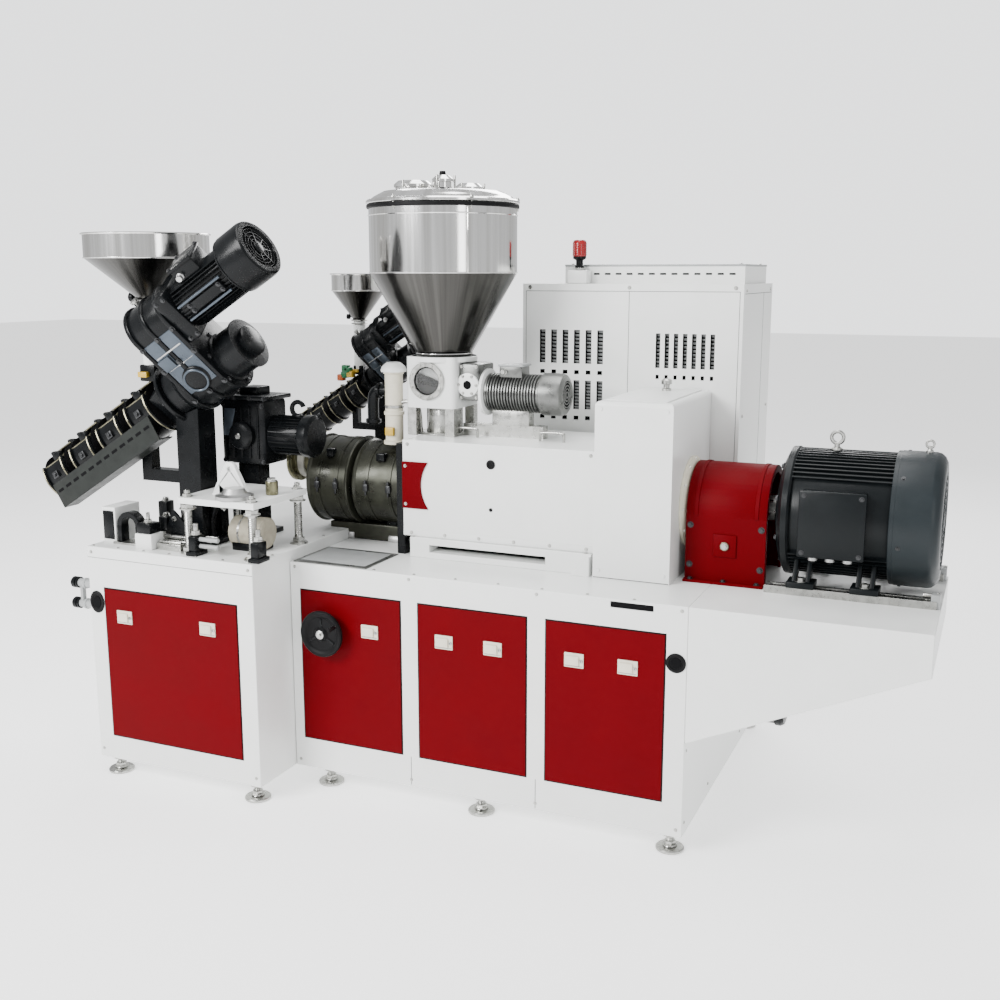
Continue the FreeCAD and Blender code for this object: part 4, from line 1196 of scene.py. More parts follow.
@dataclass
class GearHousing:
    """White gear housing with a cream bearing ring, cover screws and breather."""

    left: float = -350.0
    right: float = -112.0
    half: float = 228.0
    top: float = 1285.0
    shaft: float = SHAFT

    def build(self) -> None:
        """Dresses the housing, and adds its fittings."""
        left, right, half = self.left, self.right, self.half
        dress("gear_housing", WHITE)
        middle = (left + right) / 2
        mesh = Maker(CREAM)
        mesh.lathe([(119, 0), (140, 0), (142, 2), (142, 9), (136, 14), (124, 20), (119, 20)],
                    (right, 0, self.shaft), RIGHT, 64, closed=True)
        mesh.use(WHITE).block(
            (left + 26, right - 26), (-half + 26, half - 26), (self.top - 1, self.top + 4), 1.5)
        mesh.use(STEEL).lathe(
            [(15, 0), (15, 8), (10, 10), (10, 20), (17, 22), (17, 34), (12, 38)], (middle, 120, self.top + 3),
            UP, 28)
        mesh.use(RUBBER).block((left + 2, right - 2), (-half - 0.4, -half + 1), (DECK + 1, DECK + 3), 0)
        mesh.piece("gear_housing_fittings", "white_enamel")
        spots = circle_spots((right + 10, 0, self.shaft), RIGHT, 133, 12)
        screws("bearing_ring_bolts", "shaft_steel", STEEL, spots, 6, 5)
        spots = [((x, -half, z), FRONT) for x in (left + 18, right - 18) for z in (775, 1262)]
        screws("housing_screws", "white_enamel", WHITE, spots, 6, 3, flats=16, washer=1.2)


@dataclass
class BarrelLine:
    """Barrel with its dark heater shrouds, clamp bands, black end plate and melt adapter."""

    tip: float = -1414.0
    z: float = 950.0
    radius: float = 92.0
    adapter: tuple[float, float] = (-20.0, 1008.0)

    def shroud(self, mesh: Maker, start: float, length: float, outer: float) -> None:
        """Adds one shroud, with rolled ends, clamp bands, bolted lugs and a terminal block.

        Args:
            mesh: the mesh that it joins.
            start: X of its left end.
            length: its length.
            outer: its radius.
        """
        z = self.z
        at = (start, 0, z)
        mesh.use(OLIVE).lathe(
            [(self.radius, 0), (outer - 8, 0), (outer - 2, 2), (outer, 6), (outer - 2, 10), (outer - 7, 14),
            (outer - 7, length - 14), (outer - 2, length - 10), (outer, length - 6), (outer - 2, length - 2),
            (outer - 8, length), (self.radius, length)], at, RIGHT, 72, closed=True)
        for share in (0.28, 0.72):
            x = start + share * length
            mesh.use(OLIVE).ring((x - 7, 0, z), RIGHT, outer - 4.5, outer - 9, 14, 0.8, 72)
            mesh.use(BOLT_BLACK).block(about(x, 9), (-outer - 2, -outer + 12), about(z, 12), 2)
            mesh.rod((x, -outer + 2, z - 26), UP, 3.5, 52, 0.6, 14)
            mesh.nut((x, -outer + 2, z + 16), UP, 6.5, 6)
        mesh.use(BLACK).block(
            (start + length * 0.4, start + length * 0.6), (-46, 46), (z - outer - 6, z - outer + 18), 3)
        mesh.use(BLACK).block(
            (start + length * 0.42, start + length * 0.58), (-outer * 0.80, -outer * 0.62),
            (z + outer * 0.60, z + outer * 0.78), 3)

    def build(self) -> None:
        """Dresses the barrel line, and builds the shrouds and the adapter's fittings."""
        tip = self.tip
        dress("barrel", STEEL)
        dress("barrel_end_plate", BLACK, 1.5)
        dress("melt_adapter", ADAPTER, 1.0)
        mesh = Maker(OLIVE)
        self.shroud(mesh, tip + 2, 162, 154)
        self.shroud(mesh, tip + 176, 196, 146)
        mesh.use(OLIVE).block((tip + 40, tip + 330), (-60, 60), (752, 806), 3)
        mesh.use(SILVER)
        for x in (tip + 90, tip + 270):
            mesh.rod((x, -40, 756), RIGHT, 26, 46, 2, 28)
        mesh.piece("barrel_shrouds_clamped", "shroud_steel", "barrel_shrouds")
        y, z = self.adapter
        fittings = Maker(CERAMIC)
        fittings.ring((tip - 52, y, z), LEFT, 60, 52, 26, 1.5, 48)
        fittings.use(ADAPTER).ring((tip - 14, y, z), LEFT, 58, 52, 20, 1.2, 48)
        fittings.use(STEEL).block((tip - 74, tip - 56), about(y, 12), (z + 58, z + 74), 2)
        fittings.rod((tip - 65, y - 22, z + 67), BACK, 3, 44, 0.6, 14)
        fittings.use(SILVER).lathe(
            [(7, 0), (7, 26), (4, 30), (4, 44)], (tip - 30, y - 50, z + 20), (0, -0.8, 0.6), 18)
        fittings.piece("adapter_bands", "adapter_steel")
        spots = circle_spots((tip + 1, 0, self.z), LEFT, 124, 10, 18)
        screws("barrel_face_bolts", "shaft_steel", STEEL, spots, 8, 8)
        spots = [((-1038, y, z), LEFT) for y in (-172, 172) for z in (772, 1090)]
        screws("end_plate_bolts", "shaft_steel", STEEL, spots, 7, 6)


@dataclass
class BarrelCover:
    """White sheet cover over the barrel, on two feet, with the curved red plate at its die end."""

    left: float = -1010.0
    right: float = -352.0
    low: float = 816.0
    high: float = 1130.0
    half: float = 200.0

    def build(self) -> None:
        """Dresses the cover, and adds plugs, screws and handles."""
        left, right, high, half = self.left, self.right, self.high, self.half
        dress("barrel_cover", WHITE, 1.4)
        dress("barrel_cover_feet", WHITE, 2.0)
        dress("side_plate", RED, 1.2)
        x = (left + right) / 2 - 18
        mesh = Maker(RUBBER)
        mesh.lathe([(15, -1), (15, 2), (12, 3.5), (8, 3.5), (7, 1.5)], (x, -half, high - 62), FRONT, 32)
        mesh.lathe([(6, -1), (6, 2), (0, 3)], (x, -half, high - 206), FRONT, 20)
        mesh.use(WHITE).block((left + 1, right - 1), (-half - 2.5, -half), (self.low + 2, self.low + 22), 1)
        # painted shadow in the gap between the cover's lower edge and the deck, in black rubber's colour
        mesh.use(RUBBER).block((left + 100, right - 156), (-half + 47, -half + 52), (772, 794), 0)
        mesh.use(STEEL)
        for end in (-1, 1):
            a = x + end * 150
            mesh.pipe(
                [(a - 40, -60, high - 1), (a - 40, -60, high + 20), (a - 32, -60, high + 28),
                (a + 32, -60, high + 28), (a + 40, -60, high + 20), (a + 40, -60, high - 1)], 4.5)
        mesh.piece("cover_fittings", "white_enamel")
        spots = [((a, -half - 2.5, self.low + 12), FRONT) for a in range(-980, -370, 120)]
        spots += [((a, -half, high - 14), FRONT) for a in (left + 18, right - 18)]
        spots += [((a, side * (half + 8), DECK + 66), UP) for a in (-970, -380) for side in (-1, 1)]
        screws("cover_screws", "foot_steel", STEEL, spots, 4.5, 3, flats=12)
        spots = [((left + 12, -half - 6, z), FRONT) for z in (922, 1046)]
        screws("side_plate_screws", "red_enamel", STEEL, spots, 4, 3, flats=12)


@dataclass
class MainHopper:
    """Polished conical hopper with a dark rim band, and a lid with three capped ports."""

    x: float = -955.0
    radius: float = 240.0
    outlet_radius: float = 88.0
    outlet: float = 1388.0
    shoulder: float = 1655.0
    rim: float = 1870.0
    wall: float = 3.0

    def build(self) -> None:
        """Builds the shell, its bands and seam rod, and the lid."""
        x, outlet, rim = self.x, self.outlet, self.rim
        # band and cone are one stainless steel: the band's brightness is a painted bright reflection, the
        # cone's darkness a painted dark reflection
        bright = polished("polished_hopper", x, 0, 0.85, 0.13, 0.35)
        painted_dark_cone = polished("polished_cone", x, 0, 0.055, 0.20, 0.6)
        r, w = self.radius, self.wall
        height, cone = rim - outlet, self.shoulder - outlet
        mesh = Maker(bright)
        mesh.lathe(
            [(r, cone + 1), (r, height), (r - w, height), (r - w, cone + 1)], (x, 0, outlet), UP,
            96, closed=True)
        mesh.use(painted_dark_cone).lathe(
            [(self.outlet_radius, 0), (r - 1, cone - 2), (r, cone + 1), (r - w, cone + 1),
            (self.outlet_radius - w, 0)], (x, 0, outlet), UP, 96, closed=True)
        mesh.use(bright)
        for z in (self.shoulder + 1, rim - 34):
            mesh.torus((x, 0, z), UP, r, 2.4, 96, rounds=8)
        mesh.torus((x, 0, outlet + 8), UP, self.outlet_radius + 3, 4, 64, rounds=8)
        mesh.block(
            about(x + r * 0.7, 1.5), (-r * 0.714 - 1.2, -r * 0.714 + 1), (self.shoulder + 3, rim - 14), 0.6)
        mesh.use(RUBBER).ring((x, 0, rim - 13), UP, r + 7, r, 13, 2.5, 96)
        foot = Vector((x - self.outlet_radius - 10, -24, outlet + 8))
        head = Vector((x - r * 0.985, -24, self.shoulder - 8))
        mesh.pipe([foot, foot.lerp(head, 0.5) + Vector((-6, 0, 4)), head, head + Vector((-3, 0, 70))], 6)
        for share in (0.12, 0.55, 0.92):
            spot = foot.lerp(head, share)
            mesh.use(STEEL).rod(spot, (1, 0.1, -0.4), 5, 18, 1, 14)
        mesh.piece("main_hopper_polished", "stainless", "main_hopper")
        self.build_lid(bright)

    def build_lid(self, bright: Finish) -> None:
        """Builds the lid with its rolled edge and three capped ports.

        Args:
            bright: the hopper's polished steel, with its painted bright reflection.
        """
        x = self.x
        r, z = self.radius, self.rim
        mesh = Maker(bright)
        mesh.lathe(
            [(r + 4, 0), (r + 8, 4), (r + 8, 10), (r + 4, 14), (r - 6, 16), (r - 16, 24), (r - 46, 40),
            (0, 46)], (x, 0, z), UP, 96)
        mesh.torus((x, 0, z + 6), UP, r + 4, 4, 96, rounds=8)
        for dx, y, radius, height in ((-92, -30, 62, 82), (60, 70, 46, 76), (38, -78, 34, 100)):
            top = height - (14 if radius < 40 else 6)
            mesh.use(bright).lathe(
                [(radius - 5, 30), (radius - 5, top - 22), (radius, top - 20), (radius, top - 12),
                (radius - 4, top - 8), (radius - 14, top)], (x + dx, y, z), UP, 48)
            mesh.use(RUBBER).ring((x + dx, y, z + 40), UP, radius - 3, radius - 6, 8, 1, 40)
            for u, v in around(3, radius + 4, 0.5):
                mesh.use(STEEL).rod((x + dx + u, y + v, z + 34), UP, 3.4, top - 34, 0.6, 12)
        mesh.use(RUBBER).lathe([(9, 84), (11, 90), (9, 99), (0, 100)], (x + 38, -78, z), UP, 24)
        mesh.use(STEEL)
        for u, v in around(6, r + 2, 0.3):
            mesh.rod((x + u, v, z - 22), UP, 3.2, 44, 0.6, 12).nut((x + u, v, z + 12), UP, 6.5, 6)
        mesh.piece("hopper_lid_capped", "stainless", "hopper_lid")


@dataclass
class Feeder:
    """Metering feeder: white housing with a sight glass, gear case, and finned motor."""

    x: float = -955.0
    low: float = 1222.0
    high: float = 1388.0
    half: float = 96.0
    cover_top: float = 1130.0

    def build(self) -> None:
        """Dresses the housing, and builds window, granules, gear case, motor and stand."""
        x, half = self.x, self.half
        dress("feeder_housing", WHITE)
        dress("feeder_stand", STEEL, 1.0)
        wx, wz = x - 16, self.low + 88
        mesh = Maker(STEEL)
        mesh.ring((wx, -half, wz), FRONT, 62, 45, 9, 1.8, 48)
        mesh.use(RUBBER).ring((wx, -half + 6, wz), FRONT, 46, 42, 8, 1, 48)
        mesh.use(WHITE).ring((x, 0, self.high - 17), UP, 110, 90, 17, 2, 64)
        mesh.use(STEEL).ring((x, 0, self.cover_top), UP, 84, 60, 8, 1.5, 48)
        mesh.piece("feeder_window_ring", "shaft_steel")
        pane = Maker(GLASS)
        pane.lathe([(45.5, 0), (45.5, 7)], (wx, -half + 6, wz), FRONT, 40)
        pane.piece("feeder_sight_glass", "window_glass", "feeder_window")
        heap = bmesh.new()
        rows = 16
        grid = [
            [heap.verts.new((wx + 40 * u, -half + 14 + 8 * v * v, wz - 42 + 26 * (v + 1) * (1 - 0.25 * u)))
            for u in (2 * k / rows - 1 for k in range(rows + 1))] for v in (0.0, 0.35, 0.7, 1.0)]
        for low, high in zip(grid, grid[1:]):
            for k in range(rows):
                heap.faces.new((low[k], low[k + 1], high[k + 1], high[k]))
        bed = bpy.data.meshes.new("heap_bed")
        heap.to_mesh(bed)
        heap.free()
        loose = {"Size": 2.6, "Density": 0.10, "Seed": 7}
        HEAP.run("feeder_granules", "window_glass", GRANULES, loose, DRAWING, bed)
        filler = Maker(GRANULES)
        filler.block(about(wx, 42), (-half + 17, -half + 27), (wz - 44, wz - 2), 4)
        filler.use(WHITE).block(about(wx, 45), (-half + 28, -half + 32), about(wz, 45), 0)
        filler.piece("feeder_fill", "window_glass")
        spots = circle_spots((wx, -half - 8.5, wz), FRONT, 54, 8, 22)
        screws("window_bolts", "shaft_steel", STEEL, spots, 4.5, 4)
        self.build_drive()

    def build_drive(self) -> None:
        """Builds the gear case with its flange, and the finned motor."""
        x = self.x + self.half - 14
        z = self.low + 52
        case = Maker(WEATHERED)
        case.block((x - 1, x + 72), (-62, 62), (self.low + 26, self.high - 20), 10)
        case.use(WHITE).lathe([(62, 0), (76, 4), (76, 13), (70, 15)], (x + 70, 0, z), RIGHT, 48)
        case.use(WHITE).lathe([(38, 0), (38, 8), (32, 10)], (x + 34, -61, z + 26), FRONT, 36)
        # painted shade inside the cap's bore
        case.use(SHADOW).lathe([(14, 10), (14, 11)], (x + 34, -61, z + 26), FRONT, 28)
        case.piece("feeder_gear_case_cast", "feeder_cast", "feeder_gear_case")
        spots = circle_spots((x + 72, 0, z), LEFT, 69, 6) + circle_spots(
            (x + 34, -70.5, z + 26), FRONT, 31, 6)
        spots += [((a, -62, b), FRONT) for a in (x + 9, x + 62) for b in (self.low + 36, self.high - 30)]
        screws("feeder_case_bolts", "shaft_steel", STEEL, spots, 4, 4)
        fins = [(r, h + 10 * k) for k in range(17) for r, h in ((54, 12), (62, 13), (62, 16), (54, 17.5))]
        motor = Maker(WEATHERED)
        motor.lathe([(60, 0), (62, 2), (62, 9), (54, 11)] + fins + [(54, 186), (62, 187), (62, 192)],
                    (x + 85, 0, z), RIGHT, 48)
        motor.lathe(
            [(66, 0), (68, 2), (68, 58), (64, 70), (54, 77), (46, 78), (44, 74)], (x + 275, 0, z), RIGHT, 48)
        # painted shade inside the motor's fan end
        motor.use(SHADOW).lathe([(44, 73), (44, 75)], (x + 275, 0, z), RIGHT, 36)
        motor.use(WEATHERED)
        for k in range(4):
            motor.torus((x + 275 + 76, 0, z), RIGHT, 10 + 10 * k, 1.6, 36, rounds=6)
        motor.block((x + 130, x + 210), (-34, 34), (z + 50, z + 92), 5)
        motor.use(GREY).block((x + 126, x + 214), (-38, 38), (z + 86, z + 94), 3)
        motor.use(STEEL).lathe([(10, 0), (10, 6), (7, 8), (7, 18)], (x + 150, -34, z + 70), FRONT, 20)
        motor.block((x + 100, x + 230), (-22, 22), (self.cover_top + 38, z - 52), 3)
        motor.piece("feeder_motor_finned", "finned_aluminium", "feeder_motor")


@dataclass
class VentStack:
    """Cream vent pipe with a white cap and black elbows, over the barrel's open stretch."""

    x: float = -1108.0
    y: float = -70.0
    low: float = 1094.6

    def build(self) -> None:
        """Builds the stack and its elbows."""
        x, y, low = self.x, self.y, self.low
        at = (x, y, low)
        mesh = Maker(CREAM)
        mesh.lathe(
            [(36, 0), (36, 10), (30, 12), (30, 96), (34, 98), (34, 108), (30, 110), (30, 232), (34, 234),
            (34, 244)], at, UP, 40)
        mesh.use(WHITE).lathe([(42, 240), (43, 246), (38, 258), (22, 271), (0, 272)], at, UP, 40)
        mesh.use(BLACK).pipe(
            [(x - 8, y, low + 176), (x - 52, y, low + 176), (x - 74, y, low + 164), (x - 80, y, low + 132),
            (x - 80, y, low + 62)], 19, 20)
        mesh.ring((x - 48, y, low + 176), LEFT, 26, 18, 12, 2, 28)
        mesh.ring((x - 80, y, low + 66), UP, 26, 18, 14, 2, 28)
        mesh.use(STEEL).pipe(
            [(x + 24, y, low + 140), (x + 60, y, low + 142), (x + 86, y + 10, low + 120),
            (x + 88, y + 20, low + 60), (x + 88, y + 24, low + 34)], 7, 14)
        mesh.ring((x, y, low + 120), UP, 33, 29.5, 10, 1, 36)
        mesh.use(YELLOW).block(about(x, 16), (y - 40, y - 26), (low + 30, low + 58), 3)
        mesh.piece("vent_stack_elbows", "vent_cream", "vent_stack")


@dataclass
class Cabinet:
    """Electrical cabinet with louvres, roof box, doors and the red beacon."""

    left: float = -770.0
    right: float = -20.0
    front: float = 232.0
    back: float = 700.0
    top: float = 1620.0
    louvres: tuple[tuple[float, float, int, float, float, float], ...] = (
        (62, 1468, 6, 41, 21, 112), (62, 1300, 6, 41, 21, 98), (468, 1462, 7, 30, 15, 112))

    def build(self) -> None:
        """Dresses the cabinet, and adds louvre blades, seams, hinges, lock, roof slots and beacon."""
        dress("electrical_cabinet", WHITE)
        # dark blocks paint the shade behind the louvres and along the edges of each slit
        dark = Maker(SHADOW)
        for number, (inset, top, count, pitch, width, height) in enumerate(self.louvres, 1):
            x0, x1 = self.left + inset, self.left + inset + (count - 1) * pitch + width
            dark.block(
                (x0 - 1, x1 + 1), (self.front + 21, self.front + 25.8), (top - height - 37, top + 1), 0)
            for k in range(count):
                x = self.left + inset + k * pitch
                for high, tall in ((top, height), (top - height - 22, 14)):
                    inner = 0.4 if tall > 20 else 2.4
                    for a in (x + inner, x + width - inner - 0.8):
                        dark.block(
                            (a, a + 0.8), (self.front + 1, self.front + 24), (high - tall + 0.3, high - 0.3),
                            0)
            BARS.run(
                f"louvre_blades_{number}", "white_enamel", GREY,
                {"Count": 9, "Step": (0.0, 0.0, -height / 9), "Size": (x1 - x0, 1.6, 9.0),
                "Tilt": (0.7, 0.0, 0.0)}, placed(((x0 + x1) / 2, self.front + 14, top - height / 18)))
        dark.piece("louvre_lining", "white_enamel")
        self.build_doors()
        self.build_beacon()

    def build_doors(self) -> None:
        """Adds door seams, hinges, lock, roof box slots and rear doors."""
        left, right, front, back, top = self.left, self.right, self.front, self.back, self.top
        middle = (left + right) / 2
        mesh = Maker(RUBBER)
        door_x, door_z = (left + 12, right - 12), (782, 1596)
        for y in ((front - 0.5, front + 1), (back - 1, back + 0.5)):
            for z in door_z:
                mesh.block(door_x, y, about(z, 0.7), 0)
            for x in (*door_x, middle):
                mesh.block(about(x, 0.7), y, door_z, 0)
        for x in (left, right):
            side = -1 if x == left else 1
            mesh.block((x - side, x + side * 0.5), (front + 20, back - 20), (1589, 1590.4), 0)
            mesh.block((x - side, x + side * 0.5), (back - 150, back - 148.6), (790, 1589), 0)
        mesh.use(GREY)
        for x in (left + 14, right - 14):
            for z in (860, 1190, 1530):
                mesh.rod((x, back + 1, z), UP, 6, 46, 1, 16)
        mesh.use(BLACK)
        for x in about(middle, 34):
            mesh.block(about(x, 12), (back - 1, back + 4), (1120, 1260), 3)
            mesh.block(about(x, 7), (back + 3, back + 12), (1140, 1240), 3)
        for k in range(9):
            mesh.block((middle - 250, middle - 110), about(back, 0.6), (900 + 16 * k, 906 + 16 * k), 0)
        mesh.use(GREY).block((left + 128, right - 10), (front + 58, back - 58), (top + 56, top + 63), 2)
        mesh.piece("cabinet_doors_and_hinges", "white_enamel")
        # dark bars paint the shade inside the roof box's slots
        for name, y in (("front", front + 60), ("back", back - 60)):
            BARS.run(f"roof_box_slots_{name}", "white_enamel", SHADOW,
                     {"Count": 15, "Step": (38.0, 0.0, 0.0), "Size": (20.0, 1.6, 6.0)},
                     placed((left + 166, y, top + 32)))
        spots = [((x, front, z), FRONT) for x in (left + 26, middle, right - 26) for z in (766, 1608)]
        spots += [((x, y, top + 63), UP) for x in (left + 150, right - 30) for y in (front + 80, back - 80)]
        spots += [((right, y, z), RIGHT) for y in (front + 40, back - 40) for z in (790, 1200, 1600)]
        screws("cabinet_screws", "foot_steel", STEEL, spots, 5, 3, flats=12)

    def build_beacon(self) -> None:
        """Builds the beacon's stem and ribbed lens."""
        x, y, z = self.left + 190, self.front + 32, self.top
        stem = Maker(WHITE)
        stem.block(about(x, 34), about(y, 24), (z, z + 44), 4)
        stem.use(STEEL).rod((x, y, z + 43), UP, 14, 14, 2, 28)
        stem.use(BLACK).lathe([(15, 52), (15, 60), (12, 62), (12, 76), (22, 82), (22, 90)], (x, y, z), UP, 32)
        stem.piece("beacon_stem_turned", "beacon_black", "beacon_stem")
        lens = Maker(LENS)
        ribs = [(r, h + 7 * k) for k in range(6) for r, h in ((23, 92), (24, 93.5), (23, 97))]
        lens.lathe([(22, 89), (23, 91)] + ribs + [(22.4, 136), (18, 142), (0, 144)], (x, y, z), UP, 40)
        lens.piece("beacon_lens_ribbed", "beacon_red", "beacon_lens")


@dataclass
class DieCabinet:
    """Cabinet that carries the die platform."""

    left: float = -1945.0
    right: float = -1302.0
    width: float = 643.0
    front: float = -630.0
    back: float = 430.0
    top: float = 785.0
    post: float = 62.0
    door: tuple[float, float] = (144.0, 650.0)

    def build(self) -> None:
        """Dresses the cabinet, and builds gaskets, connectors and deck screws."""
        left, right, front = self.left, self.right, self.front
        dress("die_cabinet", WHITE, 3.0)
        dress("die_cabinet_doors", RED, 1.6)
        mesh = Maker(RUBBER)
        gasket(mesh, (left + self.post, right - self.post), self.door, front, self.back)
        mesh.block((left + 0.5, right - 0.5), (front - 0.4, front + 0.6), (748, 749.2), 0)
        mesh.piece("die_cabinet_gaskets", "red_enamel")
        pipes = Maker(GREY)
        for height in (572.0, 642.0):
            at = (left, front + 46, height)
            pipes.use(GREY).lathe(
                [(24, 0), (24, 5), (15, 7), (15, 50), (18, 52), (18, 60), (14, 62), (14, 84)], at, LEFT, 28)
            pipes.use(BLACK).lathe(
                [(19, 82), (19, 88), (16, 89), (16, 92), (19, 93), (19, 106), (14, 112)], at, LEFT, 28)
        pipes.use(GREY).block((left - 78, left - 66), (front + 38, front + 54), (572, 642), 2)
        pipes.piece("water_connectors_knurled", "connector_grey", "water_connectors")
        spots = [((x, front + 14, self.top), UP) for x in range(-1930, -1300, 102)]
        spots += [((right - 14, y, self.top), UP) for y in range(-500, 420, 150)]
        spots += [((x, front, z), FRONT) for x in (left + 16, right - 16) for z in (90, 766)]
        screws("die_cabinet_screws", "foot_steel", STEEL, spots, 4.2, 2.6, flats=12)


@dataclass
class DiePlatform:
    """Raised plate with its lug on four nutted posts, beige drum, and brackets along the front edge."""

    top: float = DieCabinet.top
    front: float = DieCabinet.front
    plate: float = 946.0

    def build(self) -> None:
        """Builds everything that stands on the die cabinet's deck, apart from the drives."""
        dress("lug_plate", WHITE, 1.5)
        posts = Maker(STEEL)
        thread = [(r, h + 6.4 * k) for k in range(17) for r, h in ((12.2, 30), (13.4, 33))]
        for x in (-1576, -1334):
            for y in (-574, -322):
                posts.use(STEEL).lathe(
                    [(30, 0), (30, 4), (13, 5), (13, 28)] + thread + [(13, 142)], (x, y, self.top), UP, 20)
                posts.nut((x, y, self.top + 4), UP, 21, 17)
                posts.nut((x, y, self.plate - 19), UP, 21, 17)
                posts.nut((x, y, self.plate + 20), UP, 15, 11)
                posts.rod((x, y, self.plate + 28), UP, 9, 14, 2, 18)
        posts.piece("plate_posts_threaded", "post_silver", "plate_posts")
        drum = Maker(BEIGE)
        drum.lathe([(44, 0), (50, 5), (50, 36), (47, 38), (47, 42), (50, 44), (50, 82), (47, 84), (47, 88),
                    (50, 90), (50, 119), (44, 124)], (-1486, -450, self.top + 56), RIGHT, 48)
        drum.use(STEEL)
        for x in (-1447, -1401):
            drum.ring((x - 4, -450, self.top + 56), RIGHT, 50, 46.4, 8, 0.8, 48)
        drum.use(BLACK).block((-1476, -1372), (-490, -410), (self.top, self.top + 30), 3)
        drum.piece("drum_banded", "drum_beige", "drum")
        self.build_brackets()
        self.build_clutter()

    def build_brackets(self) -> None:
        """Builds the junction box, arch, clamp block, bar and shield, left to right."""
        t, y = self.top, self.front
        mesh = Maker(WHITE)
        mesh.block((-1937, -1883), (y + 70, y + 190), (t, t + 118), 3)
        mesh.use(BLACK).block((-1931, -1889), (y + 66, y + 71), (t + 12, t + 106), 2)
        mesh.use(BLACK).ring((-1828, y + 102, t + 62), FRONT, 46, 28, 36, 2, 40, 180, 0)
        for x in (-1874, -1800):
            mesh.block((x, x + 18), (y + 66, y + 102), (t, t + 63), 2)
        mesh.use(STEEL).block((-1888, -1768), (y + 58, y + 112), (t, t + 7), 1.5)
        for x in (-1880, -1777):
            mesh.nut((x, y + 84, t + 7), UP, 7, 7)
        mesh.use(WHITE).block((-1772, -1706), (y + 30, y + 90), (t, t + 50), 3)
        mesh.use(BLACK).block((-1766, -1712), (y + 34, y + 86), (t + 50, t + 84), 4)
        mesh.use(STEEL).rod(
            (-1739, y + 60, t + 82), UP, 6, 34, 1, 16).nut((-1739, y + 60, t + 84), UP, 12, 10)
        mesh.use(STEEL).block((-1700, -1606), (y + 48, y + 70), (t, t + 22), 2)
        mesh.rod((-1696, y + 59, t + 26), RIGHT, 5, 86, 1, 16)
        mesh.use(BLACK).prism(
            [(-1735, t), (-1588, t), (-1628, t + 62), (-1690, t + 118)], "xz", y + 118, y + 130, 1.5)
        mesh.use(STEEL)
        for x, z in ((-1712, t + 16), (-1610, t + 16), (-1682, t + 88)):
            mesh.nut((x, y + 118, z), FRONT, 7, 6)
        mesh.piece("front_brackets", "fitting_black", "platform_fittings")

    def build_clutter(self) -> None:
        """Builds the small bars, clamps, stubs and rigid tubes between the posts and the stands."""
        t, y = self.top, self.front
        mesh = Maker(STEEL)
        for x in (-1540.0, -1306.0):
            mesh.use(BLACK).block(about(x, 20), (y + 14, y + 74), (t, t + 14), 2)
            mesh.use(BLACK).block(about(x, 14), (y + 20, y + 68), (t + 12, t + 62), 3)
            mesh.use(STEEL).rod((x, y + 44, t + 60), UP, 8, 40, 1, 18).nut((x, y + 44, t + 66), UP, 14, 12)
        mesh.use(STEEL)
        for z, reach in ((t + 18, 190), (t + 34, 150)):
            mesh.rod((-1560 - reach, y + 100, z), RIGHT, 7, reach, 1, 18)
        mesh.pipe([(-1680, y + 160, t + 10), (-1672, y + 150, t + 90), (-1630, y + 140, t + 150),
                (-1560, y + 150, t + 158), (-1520, y + 170, t + 120)], 6, 12)
        mesh.use(BLACK).pipe(
            [(-1600, y + 210, t + 4), (-1604, y + 214, t + 70), (-1580, y + 220, t + 130),
            (-1530, y + 230, t + 142)], 10, 14)
        for x, depth, high in (
                (-1650, 190, 96), (-1612, 250, 132), (-1700, 230, 84), (-1838, 250, 110), (-1790, 190, 72)):
            mesh.use(BLACK).block(about(x, 18), (y + depth, y + depth + 40), (t, t + high), 3)
            mesh.use(STEEL).rod((x, y + depth + 20, t + high - 2), UP, 9, 14, 1.5, 20)
            mesh.nut((x, y + depth + 20, t + high), UP, 12, 8)
        mesh.use(STEEL).block((-1860, -1560), (y + 176, y + 186), (t, t + 26), 2)
        mesh.use(SILVER).lathe(
            [(58, 0), (60, 3), (60, 12), (40, 18), (30, 34)], (-1418, y + 86, self.plate + 20), UP, 48)
        mesh.use(WHITE).prism(
            [(-1500, self.plate + 20), (-1450, self.plate + 20), (-1500, self.plate + 56)], "xz", y + 118,
            y + 128, 1)
        mesh.use(ADAPTER).rod((-1350, y + 190, self.plate + 20), UP, 20, 44, 3, 32)
        mesh.use(STEEL).nut((-1350, y + 190, self.plate + 64), UP, 14, 10)
        for z in (t + 30, t + 52):
            mesh.use(GREY).rod((-1530, y + 40, z), RIGHT, 7, 78, 1, 18)
            mesh.use(BLACK).rod((-1536, y + 40, z), RIGHT, 10, 14, 2, 20)
        mesh.piece("platform_bars_and_tubes", "fitting_black")


